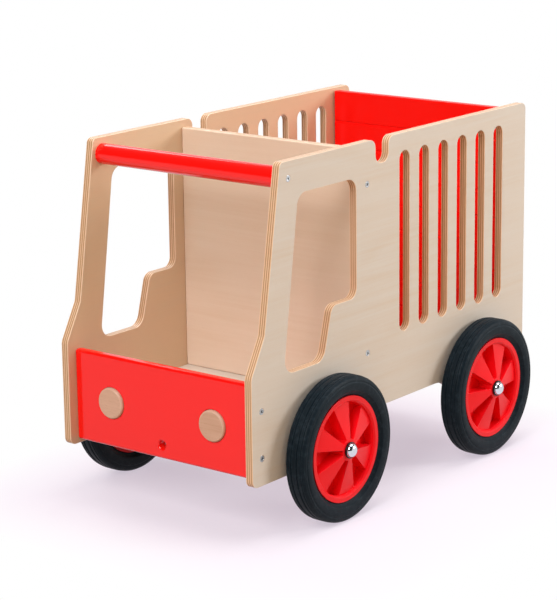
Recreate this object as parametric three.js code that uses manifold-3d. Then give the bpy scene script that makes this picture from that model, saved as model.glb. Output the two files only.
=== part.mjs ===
// Wooden toy animal transporter. Two plywood side panels carry a red bumper board, a cab partition,
// a floor and a round crossbar. A grooved ramp closes the load bed and swings down behind it, and
// four rubber-tyred wheels turn on two steel axles.
// Millimetres, +Z up. The transporter faces -Y, its left side is +X, and the origin lies on the
// ground below the middle of the panels.

import * as THREE from 'three';
import { mergeVertices } from 'three/addons/utils/BufferGeometryUtils.js';
import Module from 'manifold-3d';

// Side panels: lengths run back from the front edge, heights run up from the lower edge
const panelThickness = 10;
const insideWidth = 269;
const panelLength = 568;
const panelHeight = 365;
const noseHeight = 128;
const pillarFootSetback = 25;
const pillarFootHeight = 173;
const pillarTopSetback = 56;
const bendRadius = 14;
const panelCornerRadius = 9;
const pillarTopRadius = 6;
const panelEasing = 2.5;

// Arch in the lower edge, between the feet that hold the axles
const archHeight = 38.5;
const archFootReach = 37;
const archLean = 15;
const archRadius = 58;
const footRadius = 4;

// Cab window with the step of an arm rest
const windowBottom = 120;
const windowTopRail = 39.5;
const windowFrontLow = 59;
const windowFrontHigh = 88.5;
const windowRearPost = 17;
const armRestHeight = 182.5;
const armRestLength = 48.5;
const armRestLean = 17;
const windowRadius = 16;
const armRestRadius = 12;

// Slots along the load bed, as many as fit between the notch and the rear post
const slotWidth = 21.5;
const slotPitch = 41.2;
const slotBottom = 121.5;
const slotTopRail = 21.5;
const slotNotchPost = 22.5;
const slotRearPost = 50;

// Notch between the cab and the load bed
const notchGap = 11.5;
const notchWidth = 26.5;
const notchDepth = 29.5;
const notchShoulderRadius = 10;
const notchBottomRadius = 11;

// Bumper board, its headlight discs and the hole for a pull cord
const bumperThickness = 12;
const bumperSetback = 11.5;
const bumperLift = 6;
const bumperHeight = 112;
const bumperRound = 4;
const headlightDiameter = 38.5;
const headlightThickness = 6;
const headlightRecess = 3;
const headlightBevel = 1.5;
const headlightInset = 57.2;
const headlightHeight = 54.5;
const cordHoleDiameter = 10;
const cordHoleFlare = 1.5;
const cordHoleHeight = 17;

// Crossbar, partition and floor
const crossbarDiameter = 25;
const crossbarGap = 15;
const crossbarDrop = 20;
const partitionThickness = 10;
const partitionSetback = 216.5;
const partitionDrop = 9;
const floorThickness = 10;
const floorHeight = 42;

// Loading ramp, its pivot and the two strips that it closes against
const rampThickness = 12;
const rampInset = 25;
const rampDrop = 4;
const rampSideGap = 1.5;
const rampFloorGap = 1.5;
const rampTopRound = 2;
const pivotHeight = 47;
const pivotDiameter = 5;
const pivotDepth = 24;
const groovePitch = 34.3;
const firstGroove = 41;
const grooveFootGap = 20;
const grooveWidth = 3;
const grooveDepth = 1.5;
const stopSection = 10;
const stopLength = 60;
const stopLift = 5;
const stopGap = 0.5;

// Wheels and axles
const wheelDiameter = 175;
const tyreWidth = 30;
const tyreGap = 3.7;
const treadWidth = 22.5;
const sideWallRise = 7;
const shoulderDrop = 5;
const treadGrooveSpacing = 8;
const treadGrooveWidth = 2.4;
const treadGrooveDepth = 1.6;
const rimDiameter = 127;
const rimWidth = 21;
const rimFlange = 2.5;
const rimFlangeDepth = 4.4;
const rimWall = 3;
const rimLip = 4;
const bladeCount = 6;
const bladeShare = 0.51;
const webThickness = 3;
const webSetback = 4;
const hubDiameter = 25;
const hubReach = 15;
const axleDiameter = 12;
const axleHeight = 17.5;
const frontAxleSetback = 138;
const rearAxleInset = 114.5;
const washerDiameter = 24;
const washerThickness = 2;
const capDiameter = 19.5;
const domeDiameter = 17;
const capHeight = 8.5;
const capSkirt = 2.5;
const capSocket = 5;
const frontWheelTurn = 35;
const rearWheelTurn = 11;

// Countersunk wood screws
const screwHeadDiameter = 8;
const screwHeadHeight = 2.6;
const screwShankDiameter = 4;
const screwLength = 30;
const screwTip = 2;
const partitionScrewDrop = 42;
const partitionScrewLift = 58;
const bumperScrewLow = 26;
const bumperScrewHigh = 81.5;

// Clearances
const glueLine = 0.1;
const runningFit = 0.3;

// How far a cutting tool reaches past a face, and how close two points count as one
const cutMargin = 1;
const weldDistance = 1e-3;

// Facets
const turnStep = Math.PI / 8;
const tyreFacets = 26;
const rimFacets = 24;
const timberFacets = 18;
const holeFacets = 12;
const screwFacets = 8;
const capSteps = 3;

const wasm = await Module();
wasm.setup();

const wheelRadius = wheelDiameter / 2;
const outsideHalf = insideWidth / 2 + panelThickness;
const insideHalf = insideWidth / 2;
const headlightOffset = insideHalf - headlightInset;
const rearAxleSetback = panelLength - rearAxleInset;
const crossbarSetback = pillarTopSetback + crossbarGap;
const notchFront = partitionSetback + partitionThickness + notchGap;
const notchRear = notchFront + notchWidth;
const rampFront = panelLength - rampInset - rampThickness;
const rampMiddle = rampFront + rampThickness / 2;
const floorMiddle = floorHeight + floorThickness / 2;
const sides = [['left', 1], ['right', -1]];

// Materials by finish, each mesh gets its own copy
const finishes = {
  plywood: { color: 0xe3cdaa, roughness: 0.55, metalness: 0 },
  beech: { color: 0xd9b384, roughness: 0.5, metalness: 0 },
  redPaint: { color: 0xe8141c, roughness: 0.35, metalness: 0 },
  redPlastic: { color: 0xd9101e, roughness: 0.3, metalness: 0 },
  rubber: { color: 0x1c2226, roughness: 0.75, metalness: 0 },
  steel: { color: 0xb9bdc0, roughness: 0.35, metalness: 1 },
  chrome: { color: 0xe6e8ea, roughness: 0.08, metalness: 1 },
};

// An outline's rounded corners: each corner is [along, up, radius], taken anticlockwise
function roundedOutline(corners) {
  const count = corners.length;
  const spots = corners.map(([along, up]) => new THREE.Vector2(along, up));
  const edge = (i) => spots[(i + 1) % count].clone().sub(spots[i]);
  const turns = spots.map((spot, i) => {
    const before = edge((i + count - 1) % count);
    const after = edge(i);
    return Math.atan2(before.cross(after), before.dot(after));
  });
  const wanted = corners.map((corner, i) => corner[2] * Math.tan(Math.abs(turns[i]) / 2));
  const fitted = wanted.map((length, i) => {
    const last = (i + count - 1) % count;
    const next = (i + 1) % count;
    const shareBefore = edge(last).length() / (length + wanted[last]);
    const shareAfter = edge(i).length() / (length + wanted[next]);
    return length * Math.min(1, shareBefore, shareAfter);
  });
  const points = [];
  spots.forEach((spot, i) => {
    if (fitted[i] === 0) {
      points.push(spot);
      return;
    }
    const inward = edge((i + count - 1) % count).normalize();
    const start = spot.clone().addScaledVector(inward, -fitted[i]);
    const radius = fitted[i] / Math.tan(Math.abs(turns[i]) / 2);
    const hand = Math.sign(turns[i]);
    const centre = start.clone().add(new THREE.Vector2(-inward.y, inward.x).multiplyScalar(radius * hand));
    const steps = Math.max(1, Math.ceil(Math.abs(turns[i]) / turnStep));
    for (let step = 0; step <= steps; step += 1) {
      points.push(start.clone().rotateAround(centre, turns[i] * step / steps));
    }
  });
  return points.filter((point, i) => point.distanceTo(points[(i + 1) % points.length]) > weldDistance);
}

// A board of the given thickness from an outline of points, with holes through it and eased edges
function board(outline, thickness, holes = [], easing = 0) {
  const shape = new THREE.Shape(outline);
  shape.holes = holes.map((hole) => new THREE.Path(hole));
  const blank = new THREE.ExtrudeGeometry(shape, {
    depth: thickness - 2 * easing,
    bevelEnabled: easing > 0,
    bevelThickness: easing,
    bevelSize: easing,
    bevelOffset: -easing,
    bevelSegments: 1,
  });
  return blank.translate(0, 0, easing);
}

// Stands a board on edge: its outline's along and up become Y and Z, its thickness X
function standLengthwise(geometry) {
  const basis = new THREE.Matrix4().makeBasis(
    new THREE.Vector3(0, 1, 0), new THREE.Vector3(0, 0, 1), new THREE.Vector3(1, 0, 0));
  return geometry.applyMatrix4(basis);
}

// Stands a board across: its outline's along and up become X and Z, its thickness runs back along Y
function standAcross(geometry, thickness) {
  return geometry.rotateX(Math.PI / 2).translate(0, thickness, 0);
}

// A turned piece about X, from [radius, along] points, with along growing towards +X
function turned(profile, facets, phase = 0) {
  const points = profile.map(([radius, along]) => new THREE.Vector2(radius, along));
  return new THREE.LatheGeometry(points, facets, phase).rotateZ(-Math.PI / 2);
}

// A plain rod about X from one place along X to another
function rod(radius, from, to, facets) {
  return turned([[0, from], [radius, from], [radius, to], [0, to]], facets);
}

// The closed mesh of a geometry as a solid that can be cut and joined
function toSolid(geometry) {
  const bare = geometry.clone();
  bare.deleteAttribute('normal');
  bare.deleteAttribute('uv');
  const merged = mergeVertices(bare, weldDistance);
  return new wasm.Manifold(new wasm.Mesh({
    numProp: 3,
    vertProperties: new Float32Array(merged.attributes.position.array),
    triVerts: new Uint32Array(merged.index.array),
  }));
}

// A solid back as a geometry
function toGeometry(solid) {
  const mesh = solid.getMesh();
  const geometry = new THREE.BufferGeometry();
  geometry.setAttribute('position', new THREE.BufferAttribute(mesh.vertProperties, 3));
  geometry.setIndex(new THREE.BufferAttribute(mesh.triVerts, 1));
  geometry.computeVertexNormals();
  return geometry;
}

// A geometry with other geometries cut out of it
function cut(geometry, tools) {
  return toGeometry(tools.reduce((rest, tool) => rest.subtract(toSolid(tool)), toSolid(geometry)));
}

// A named mesh with a material of its own
function piece(name, geometry, finish) {
  const mesh = new THREE.Mesh(geometry, new THREE.MeshStandardMaterial(finishes[finish]));
  mesh.name = name;
  return mesh;
}

// Outline of a side panel, anticlockwise from the front lower corner
function panelOutline() {
  const frontFoot = frontAxleSetback + archFootReach;
  const rearFoot = rearAxleSetback - archFootReach;
  const notchFloor = panelHeight - notchDepth;
  return roundedOutline([
    [0, 0, panelCornerRadius],
    [frontFoot, 0, footRadius],
    [frontFoot + archLean, archHeight, archRadius],
    [rearFoot - archLean, archHeight, archRadius],
    [rearFoot, 0, footRadius],
    [panelLength, 0, panelCornerRadius],
    [panelLength, panelHeight, panelCornerRadius],
    [notchRear, panelHeight, notchShoulderRadius],
    [notchRear, notchFloor, notchBottomRadius],
    [notchFront, notchFloor, notchBottomRadius],
    [notchFront, panelHeight, notchShoulderRadius],
    [pillarTopSetback, panelHeight, pillarTopRadius],
    [pillarFootSetback, pillarFootHeight, bendRadius],
    [0, noseHeight, bendRadius],
  ]);
}

// Outline of the cab window, with the arm rest stepping up behind the door sill
function windowOutline() {
  const windowTop = panelHeight - windowTopRail;
  const windowRear = partitionSetback - windowRearPost;
  const armRestFront = windowRear - armRestLength;
  return roundedOutline([
    [windowFrontLow, windowBottom, windowRadius],
    [armRestFront - armRestLean, windowBottom, windowRadius],
    [armRestFront, armRestHeight, armRestRadius],
    [windowRear, armRestHeight, armRestRadius],
    [windowRear, windowTop, windowRadius],
    [windowFrontHigh, windowTop, windowRadius],
  ]);
}

// Outlines of the slots with round ends
function slotOutlines() {
  const half = slotWidth / 2;
  const slotTop = panelHeight - slotTopRail;
  const last = panelLength - slotRearPost - half;
  const outlines = [];
  for (let middle = notchRear + slotNotchPost + half; middle <= last; middle += slotPitch) {
    outlines.push(roundedOutline([
      [middle - half, slotBottom, half],
      [middle + half, slotBottom, half],
      [middle + half, slotTop, half],
      [middle - half, slotTop, half],
    ]));
  }
  return outlines;
}

// Where the screws stand on a side panel: name, setback and height
function screwPlaces() {
  const bumperMiddle = bumperSetback + bumperThickness / 2;
  const partitionMiddle = partitionSetback + partitionThickness / 2;
  const partitionFoot = floorHeight + floorThickness;
  return [
    ['crossbar_screw', crossbarSetback, panelHeight - crossbarDrop],
    ['partition_screw_upper', partitionMiddle, panelHeight - partitionDrop - partitionScrewDrop],
    ['partition_screw_lower', partitionMiddle, partitionFoot + partitionScrewLift],
    ['bumper_screw_upper', bumperMiddle, bumperLift + bumperScrewHigh],
    ['bumper_screw_lower', bumperMiddle, bumperLift + bumperScrewLow],
    ['floor_screw_front', frontAxleSetback, floorMiddle],
    ['floor_screw_rear', rearAxleSetback, floorMiddle],
  ];
}

// A countersunk fastener about X with its head at the origin, or the hole that it sits in
function fastener(side, diameter, length, tip, facets, clearance) {
  const head = screwHeadDiameter / 2 + clearance;
  const shank = diameter / 2 + clearance;
  const profile = [
    [0, -length - clearance],
    [shank, tip - length - clearance],
    [shank, -screwHeadHeight - clearance],
    [head, clearance],
    [0, clearance],
  ];
  return turned(profile, facets).rotateZ(side > 0 ? 0 : Math.PI);
}

// A pointed wood screw, or the hole that it sits in
function screw(side, clearance = 0) {
  return fastener(side, screwShankDiameter, screwLength, screwTip, screwFacets, clearance);
}

// A smooth blunt pin that the ramp swings on, or the hole that it sits in
function pivotPin(side, clearance = 0) {
  const length = panelThickness + rampSideGap + pivotDepth;
  return fastener(side, pivotDiameter, length, 0, holeFacets, clearance);
}

// Holes of the named kinds of screws on both sides
function screwHoles(names) {
  return sides.flatMap(([, side]) => screwPlaces()
    .filter(([name]) => names.some((start) => name.startsWith(start)))
    .map(([, setback, height]) => screw(side, runningFit).translate(side * outsideHalf, setback, height)));
}

// Holes of the ramp pivots on both sides
function pivotHoles() {
  return sides.map(([, side]) => pivotPin(side, runningFit)
    .translate(side * outsideHalf, rampMiddle, pivotHeight));
}

// One side panel with eased edges, its window, slots, axle holes and screw holes
function sidePanel(name, side) {
  const openings = [windowOutline(), ...slotOutlines()];
  const blank = standLengthwise(board(panelOutline(), panelThickness, openings, panelEasing));
  blank.translate(side > 0 ? insideHalf : -outsideHalf, 0, 0);
  const axleHoles = [frontAxleSetback, rearAxleSetback].map((setback) => rod(
    axleDiameter / 2 + runningFit, -outsideHalf - cutMargin, outsideHalf + cutMargin, holeFacets)
    .translate(0, setback, axleHeight));
  const kinds = ['crossbar', 'partition', 'bumper', 'floor'];
  return piece(name, cut(blank, [...axleHoles, ...screwHoles(kinds), ...pivotHoles()]), 'plywood');
}

// The red bumper board with its round edges, headlight recesses and flared cord hole
function bumper() {
  const width = insideWidth - 2 * glueLine;
  const profile = roundedOutline([
    [0, 0, bumperRound],
    [bumperThickness, 0, bumperRound],
    [bumperThickness, bumperHeight, bumperRound],
    [0, bumperHeight, bumperRound],
  ]);
  const blank = standLengthwise(board(profile, width)).translate(-width / 2, bumperSetback, bumperLift);
  const recesses = [1, -1].map((hand) => rod(
    headlightDiameter / 2 + runningFit, -headlightRecess, headlightRecess, timberFacets)
    .rotateZ(Math.PI / 2)
    .translate(hand * headlightOffset, bumperSetback, bumperLift + headlightHeight));
  const bore = cordHoleDiameter / 2;
  const flare = bore + cordHoleFlare + cutMargin;
  const cordHole = turned([
    [0, -cutMargin],
    [flare, -cutMargin],
    [bore, cordHoleFlare],
    [bore, bumperThickness - cordHoleFlare],
    [flare, bumperThickness + cutMargin],
    [0, bumperThickness + cutMargin],
  ], holeFacets).rotateZ(Math.PI / 2).translate(0, bumperSetback, bumperLift + cordHoleHeight);
  return piece('bumper_board', cut(blank, [...recesses, cordHole, ...screwHoles(['bumper'])]), 'redPaint');
}

// A bevelled headlight disc, seated in its recess
function headlight(name, hand) {
  const radius = headlightDiameter / 2;
  const back = headlightRecess - runningFit;
  const disc = turned([
    [0, -back],
    [radius, -back],
    [radius, headlightThickness - back - headlightBevel],
    [radius - headlightBevel, headlightThickness - back],
    [0, headlightThickness - back],
  ], timberFacets).rotateZ(-Math.PI / 2);
  const mesh = piece(name, disc, 'beech');
  mesh.position.set(hand * headlightOffset, bumperSetback, bumperLift + headlightHeight);
  return mesh;
}

// The round crossbar over the windscreen
function crossbar() {
  const half = insideHalf - glueLine;
  const bar = rod(crossbarDiameter / 2, -half, half, timberFacets)
    .translate(0, crossbarSetback, panelHeight - crossbarDrop);
  return piece('cab_crossbar', cut(bar, screwHoles(['crossbar'])), 'redPaint');
}

// The wall between the cab and the load bed, standing on the floor
function partition() {
  const foot = floorHeight + floorThickness + glueLine;
  const half = insideHalf - glueLine;
  const outline = roundedOutline([
    [-half, foot, 0],
    [half, foot, 0],
    [half, panelHeight - partitionDrop, 0],
    [-half, panelHeight - partitionDrop, 0],
  ]);
  const wall = standAcross(board(outline, partitionThickness), partitionThickness)
    .translate(0, partitionSetback, 0);
  return piece('cab_partition', cut(wall, screwHoles(['partition'])), 'plywood');
}

// The floor of cab and load bed, from the bumper to the ramp
function floorBoard() {
  const half = insideHalf - glueLine;
  const front = bumperSetback + bumperThickness + glueLine;
  const rear = rampFront - rampFloorGap;
  const outline = roundedOutline([[-half, front, 0], [half, front, 0], [half, rear, 0], [-half, rear, 0]]);
  const slab = board(outline, floorThickness).translate(0, 0, floorHeight);
  return piece('floor_board', cut(slab, screwHoles(['floor'])), 'plywood');
}

// The loading ramp, closed: a round lower edge about its pivot and grooves across its inner face
function loadingRamp() {
  const half = rampThickness / 2;
  const width = insideWidth - 2 * rampSideGap;
  const top = panelHeight - rampDrop;
  const corners = [
    [rampFront, pivotHeight - half, half],
    [rampFront + rampThickness, pivotHeight - half, half],
    [rampFront + rampThickness, top, rampTopRound],
    [rampFront, top, rampTopRound],
  ];
  for (let height = top - firstGroove; height > pivotHeight + grooveFootGap; height -= groovePitch) {
    corners.push([rampFront, height + grooveWidth / 2, 0]);
    corners.push([rampFront + grooveDepth, height, 0]);
    corners.push([rampFront, height - grooveWidth / 2, 0]);
  }
  const slab = standLengthwise(board(roundedOutline(corners), width)).translate(-width / 2, 0, 0);
  return piece('loading_ramp', cut(slab, pivotHoles()), 'redPaint');
}

// A strip on the panel that the closed ramp rests against
function rampStop(name, side) {
  const strip = new THREE.BoxGeometry(stopSection, stopSection, stopLength);
  const mesh = piece(name, strip, 'plywood');
  mesh.position.set(
    side * (insideHalf - glueLine - stopSection / 2),
    rampFront - stopGap - stopSection / 2,
    floorHeight + floorThickness + stopLift + stopLength / 2);
  return mesh;
}

// Half of a tyre's section, from the bead over the side wall to the tread, as [radius, along].
// Its flats, and not its corners, lie on the true radii.
function tyreSection() {
  const facetReach = 1 / Math.cos(Math.PI / tyreFacets);
  const tread = wheelRadius * facetReach;
  const seat = (rimDiameter / 2 - rimFlangeDepth + runningFit) * facetReach;
  const overFlange = (rimDiameter / 2 + runningFit) * facetReach;
  const bead = rimWidth / 2 - rimFlange - runningFit;
  const groove = treadGrooveSpacing / 2;
  return [
    [seat, bead],
    [overFlange, bead],
    [overFlange + sideWallRise, tyreWidth / 2],
    [tread - shoulderDrop, tyreWidth / 2],
    [tread, treadWidth / 2],
    [tread, groove + treadGrooveWidth / 2],
    [tread - treadGrooveDepth, groove],
    [tread, groove - treadGrooveWidth / 2],
  ];
}

// A solid rubber tyre about X, standing on one of its flats
function tyre(name) {
  const outer = tyreSection();
  const inner = outer.map(([radius, along]) => [radius, -along]);
  const ring = [...inner, ...outer.reverse()];
  return piece(name, turned([...ring, ring[0]], tyreFacets, Math.PI / tyreFacets), 'rubber');
}

// A moulded rim about X: a flanged ring, a web, a hub and blades that rise from the ring to the hub
function rim(name) {
  const flange = rimDiameter / 2;
  const seat = flange - rimFlangeDepth;
  const inside = seat - rimWall;
  const edge = rimWidth / 2;
  const hub = hubDiameter / 2;
  const bore = axleDiameter / 2 + runningFit;
  const hubInner = outsideHalf + washerThickness + 2 * runningFit - wheelMiddle();
  const webFront = -webSetback;
  const webBack = webFront - webThickness;
  const profile = [
    [bore, hubInner],
    [bore, hubReach],
    [hub, hubReach],
    [inside, edge - rimLip],
    [inside, edge],
    [flange, edge],
    [flange, edge - rimFlange],
    [seat, edge - rimFlange],
    [seat, rimFlange - edge],
    [flange, rimFlange - edge],
    [flange, -edge],
    [inside, -edge],
    [inside, webBack],
    [hub, webBack],
    [hub, hubInner],
  ];
  const closed = [...profile, profile[0]].reverse();
  const pitch = 2 * Math.PI / bladeCount;
  const pocketAngle = pitch * (1 - bladeShare);
  const pockets = [];
  for (let index = 0; index < bladeCount; index += 1) {
    const middle = (index + 0.5) * pitch;
    const outline = new THREE.Shape();
    outline.absarc(0, 0, inside, middle - pocketAngle / 2, middle + pocketAngle / 2, false);
    outline.absarc(0, 0, hub, middle + pocketAngle / 2, middle - pocketAngle / 2, true);
    const well = new THREE.ExtrudeGeometry(outline, {
      depth: hubReach + webSetback,
      bevelEnabled: false,
      curveSegments: 2,
    });
    pockets.push(standLengthwise(well.translate(0, 0, webFront)));
  }
  return piece(name, cut(turned(closed, rimFacets), pockets), 'redPlastic');
}

// How far out from the middle of the transporter the middle of a wheel stands
function wheelMiddle() {
  return outsideHalf + tyreGap + tyreWidth / 2;
}

// A wheel: rim and tyre about the axle, turned as they happen to stand
function wheel(place, side, setback, turn) {
  const group = new THREE.Group();
  const rimMesh = rim(`wheel_rim_${place}`);
  rimMesh.rotation.x = THREE.MathUtils.degToRad(turn);
  group.add(rimMesh, tyre(`tyre_${place}`));
  group.position.set(side * wheelMiddle(), setback, axleHeight);
  group.rotation.z = side > 0 ? 0 : Math.PI;
  return group;
}

// A steel axle through both panels, ending inside the hub caps
function axle(name, setback) {
  const half = wheelMiddle() + hubReach + capSocket;
  const mesh = piece(name, rod(axleDiameter / 2, -half, half, holeFacets), 'steel');
  mesh.position.set(0, setback, axleHeight);
  return mesh;
}

// A washer between panel and hub
function washer(name, side, setback) {
  const outer = washerDiameter / 2;
  const bore = axleDiameter / 2 + runningFit;
  const profile = [[bore, 0], [outer, 0], [outer, washerThickness], [bore, washerThickness], [bore, 0]];
  const mesh = piece(name, turned(profile, holeFacets), 'steel');
  mesh.position.set(side * (outsideHalf + runningFit), setback, axleHeight);
  mesh.rotation.z = side > 0 ? 0 : Math.PI;
  return mesh;
}

// A domed cap pushed on the end of an axle
function hubCap(name, side, setback) {
  const skirt = capDiameter / 2;
  const bore = axleDiameter / 2 + runningFit;
  const roof = capSocket + runningFit;
  const profile = [[0, roof], [bore, roof], [bore, 0], [skirt, 0], [skirt, capSkirt]];
  for (let step = 0; step <= capSteps; step += 1) {
    const angle = Math.PI / 2 * step / capSteps;
    const radius = step < capSteps ? domeDiameter / 2 * Math.cos(angle) : 0;
    profile.push([radius, capSkirt + (capHeight - capSkirt) * Math.sin(angle)]);
  }
  const mesh = piece(name, turned(profile, holeFacets), 'chrome');
  mesh.position.set(side * (wheelMiddle() + hubReach + runningFit), setback, axleHeight);
  mesh.rotation.z = side > 0 ? 0 : Math.PI;
  return mesh;
}

// The whole transporter, with the panels' lower edge above the ground by what the wheels lift it
const transporter = new THREE.Group();
const assembly = new THREE.Group();
assembly.position.set(0, -panelLength / 2, wheelRadius - axleHeight);
transporter.add(assembly);

assembly.add(bumper(), crossbar(), partition(), floorBoard(), loadingRamp());
for (const [hand, side] of sides) {
  assembly.add(sidePanel(`side_panel_${hand}`, side));
  assembly.add(headlight(`headlight_${hand}`, side));
  assembly.add(rampStop(`ramp_stop_${hand}`, side));
  const pin = piece(`ramp_pivot_pin_${hand}`, pivotPin(side), 'steel');
  pin.position.set(side * outsideHalf, rampMiddle, pivotHeight);
  assembly.add(pin);
  for (const [name, setback, height] of screwPlaces()) {
    const mesh = piece(`${name}_${hand}`, screw(side), 'steel');
    mesh.position.set(side * outsideHalf, setback, height);
    assembly.add(mesh);
  }
  for (const [end, setback, turn] of [
    ['front', frontAxleSetback, frontWheelTurn],
    ['rear', rearAxleSetback, rearWheelTurn],
  ]) {
    assembly.add(wheel(`${end}_${hand}`, side, setback, turn));
    assembly.add(washer(`washer_${end}_${hand}`, side, setback));
    assembly.add(hubCap(`hub_cap_${end}_${hand}`, side, setback));
  }
}
assembly.add(axle('front_axle', frontAxleSetback), axle('rear_axle', rearAxleSetback));

export default transporter;
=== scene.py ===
"""Looks of the wooden toy animal transporter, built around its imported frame.

Sizes are in millimetres unless a name says otherwise. Setbacks run back from the front edge of the
side panels, heights run up from their lower edge, and reach is the distance from a wheel's axle.
"""

import logging
import math
from contextlib import contextmanager
from dataclasses import dataclass
from enum import Enum
from itertools import pairwise
from typing import Any, Callable, Iterator, NamedTuple, Sequence

import bmesh
import bpy
from mathutils import Matrix, Vector


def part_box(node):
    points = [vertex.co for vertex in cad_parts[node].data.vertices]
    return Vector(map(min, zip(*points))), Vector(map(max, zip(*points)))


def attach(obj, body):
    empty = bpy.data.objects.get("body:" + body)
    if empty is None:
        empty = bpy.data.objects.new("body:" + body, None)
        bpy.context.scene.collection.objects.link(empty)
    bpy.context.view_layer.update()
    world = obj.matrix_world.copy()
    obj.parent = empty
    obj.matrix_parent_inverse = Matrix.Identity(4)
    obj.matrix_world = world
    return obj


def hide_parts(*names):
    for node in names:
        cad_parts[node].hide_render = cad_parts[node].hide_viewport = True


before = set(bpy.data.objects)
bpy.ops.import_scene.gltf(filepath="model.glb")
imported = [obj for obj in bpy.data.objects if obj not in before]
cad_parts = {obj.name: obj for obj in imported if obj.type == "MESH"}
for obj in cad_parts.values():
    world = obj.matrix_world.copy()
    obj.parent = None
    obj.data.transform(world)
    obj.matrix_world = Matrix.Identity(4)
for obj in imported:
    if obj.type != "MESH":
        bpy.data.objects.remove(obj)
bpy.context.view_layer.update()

LOG = logging.getLogger("transporter")

MM = 0.001
TOUCH = 0.01 * MM
CUT_MARGIN = 2.0
ROUND_STEPS = 8
ROUNDED = 1
FULL_TURN = 2 * math.pi
CHASSIS = "chassis"

Colour = tuple[float, float, float, float]
Spot = tuple[float, float, float]
Span = tuple[float, float]
Section = tuple[tuple[float, float], ...]
Piece = bpy.types.Object
Socket = bpy.types.NodeSocket


class Axis(Enum):
    """An axis of the frame, by its index."""

    X = 0
    Y = 1
    Z = 2

    @property
    def vector(self) -> Vector:
        """The unit vector along this axis."""
        return Vector([float(index == self.value) for index in range(3)])


class SelectMode(Enum):
    """What edit mode selects."""

    VERT = "VERT"
    EDGE = "EDGE"


class Hand(Enum):
    """A side of the transporter, with the sign of its X."""

    LEFT = 1
    RIGHT = -1

    @property
    def word(self) -> str:
        """The side's name in node names."""
        return self.name.lower()

    @property
    def outward(self) -> Matrix:
        """Turns a piece that was made for the left side to face out on this side."""
        return Matrix.Rotation(0 if self is Hand.LEFT else math.pi, 4, "Z")


class End(Enum):
    """An end of the transporter, which has an axle of its own."""

    FRONT = "front"
    REAR = "rear"

    @property
    def axle(self) -> str:
        """The CAD node of the end's axle."""
        return f"{self.value}_axle"


class Slot(Enum):
    """A material slot of the record."""

    PLYWOOD = "birch_plywood"
    BEECH = "beech"
    LACQUER = "red_lacquer"
    PLASTIC = "red_plastic"
    RUBBER = "tyre_rubber"
    STEEL = "steel"
    CHROME = "chrome"


@dataclass(frozen=True)
class NodeBox:
    """The box of a CAD node, in metres."""

    low: Vector
    high: Vector

    @classmethod
    def of(cls, node: str) -> "NodeBox":
        """The box of a node."""
        return cls(*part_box(node))

    @property
    def middle(self) -> Vector:
        """The middle of the box."""
        return (self.low + self.high) / 2

    @property
    def size(self) -> Vector:
        """The size of the box along each axis."""
        return self.high - self.low

    @property
    def radius(self) -> float:
        """The radius, in millimetres, of a round piece that lies along X."""
        return self.size.z / 2 / MM

    @property
    def ends(self) -> Span:
        """Where the box starts and ends along X, in millimetres."""
        return self.low.x / MM, self.high.x / MM

    @property
    def lift(self) -> Matrix:
        """Moves a piece that was made about the X axis to the middle of the box's side."""
        return Matrix.Translation((0, self.middle.y, self.middle.z))


@dataclass(frozen=True)
class Datum:
    """Where the side panels stand, in metres, from which everything else is measured."""

    front: float
    lower: float
    inside: float
    outside: float

    @classmethod
    def from_frame(cls) -> "Datum":
        """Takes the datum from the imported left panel."""
        low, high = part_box("side_panel_left")
        return cls(low.y, low.z, low.x, high.x)

    @property
    def thickness(self) -> float:
        """The thickness of a panel."""
        return self.outside - self.inside

    def spot(self, x: float, setback: float, height: float) -> Vector:
        """A place in metres, from X in metres and a setback and a height in millimetres."""
        return Vector((x, self.front + setback * MM, self.lower + height * MM))


@dataclass(frozen=True)
class Corner:
    """A corner of an outline: how far along, how far up and the radius that rounds it."""

    along: float
    up: float
    radius: float = 0.0


# Workbench: operators on one piece at a time


def take_up(piece: Piece) -> None:
    """Makes a piece the only selected and the active object.

    Args:
        piece: The piece to work on.
    """
    bpy.ops.object.select_all(action="DESELECT")
    piece.select_set(True)
    bpy.context.view_layer.objects.active = piece


def name_new(name: str) -> Piece:
    """Names the primitive that was just added.

    Args:
        name: The name of the object and its mesh.

    Returns:
        The primitive.
    """
    piece = bpy.context.object
    piece.name = piece.data.name = name
    return piece


@contextmanager
def editing(piece: Piece, mode: SelectMode) -> Iterator[None]:
    """Keeps a piece in edit mode, with nothing selected at the start.

    Args:
        piece: The mesh object to edit.
        mode: What the operators select.

    Yields:
        Nothing, while the piece is in edit mode.
    """
    take_up(piece)
    bpy.ops.object.mode_set(mode="EDIT")
    bpy.ops.mesh.select_mode(type=mode.value)
    bpy.ops.mesh.select_all(action="DESELECT")
    yield
    bpy.ops.object.mode_set(mode="OBJECT")


def pick(piece: Piece, mode: SelectMode, wanted: Callable[[Vector], bool]) -> None:
    """Selects the elements whose middle passes a test, in edit mode.

    Args:
        piece: The mesh object in edit mode.
        mode: The kind of element.
        wanted: Says of a middle point, in metres, whether its element is taken.
    """
    bpy.ops.mesh.select_all(action="DESELECT")
    shape = bmesh.from_edit_mesh(piece.data)
    elements = shape.verts if mode is SelectMode.VERT else shape.edges
    for element in elements:
        spots = [element.co] if mode is SelectMode.VERT else [vert.co for vert in element.verts]
        if wanted(sum(spots, Vector()) / len(spots)):
            element.select_set(True)
    shape.select_flush_mode()
    bmesh.update_edit_mesh(piece.data)


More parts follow.
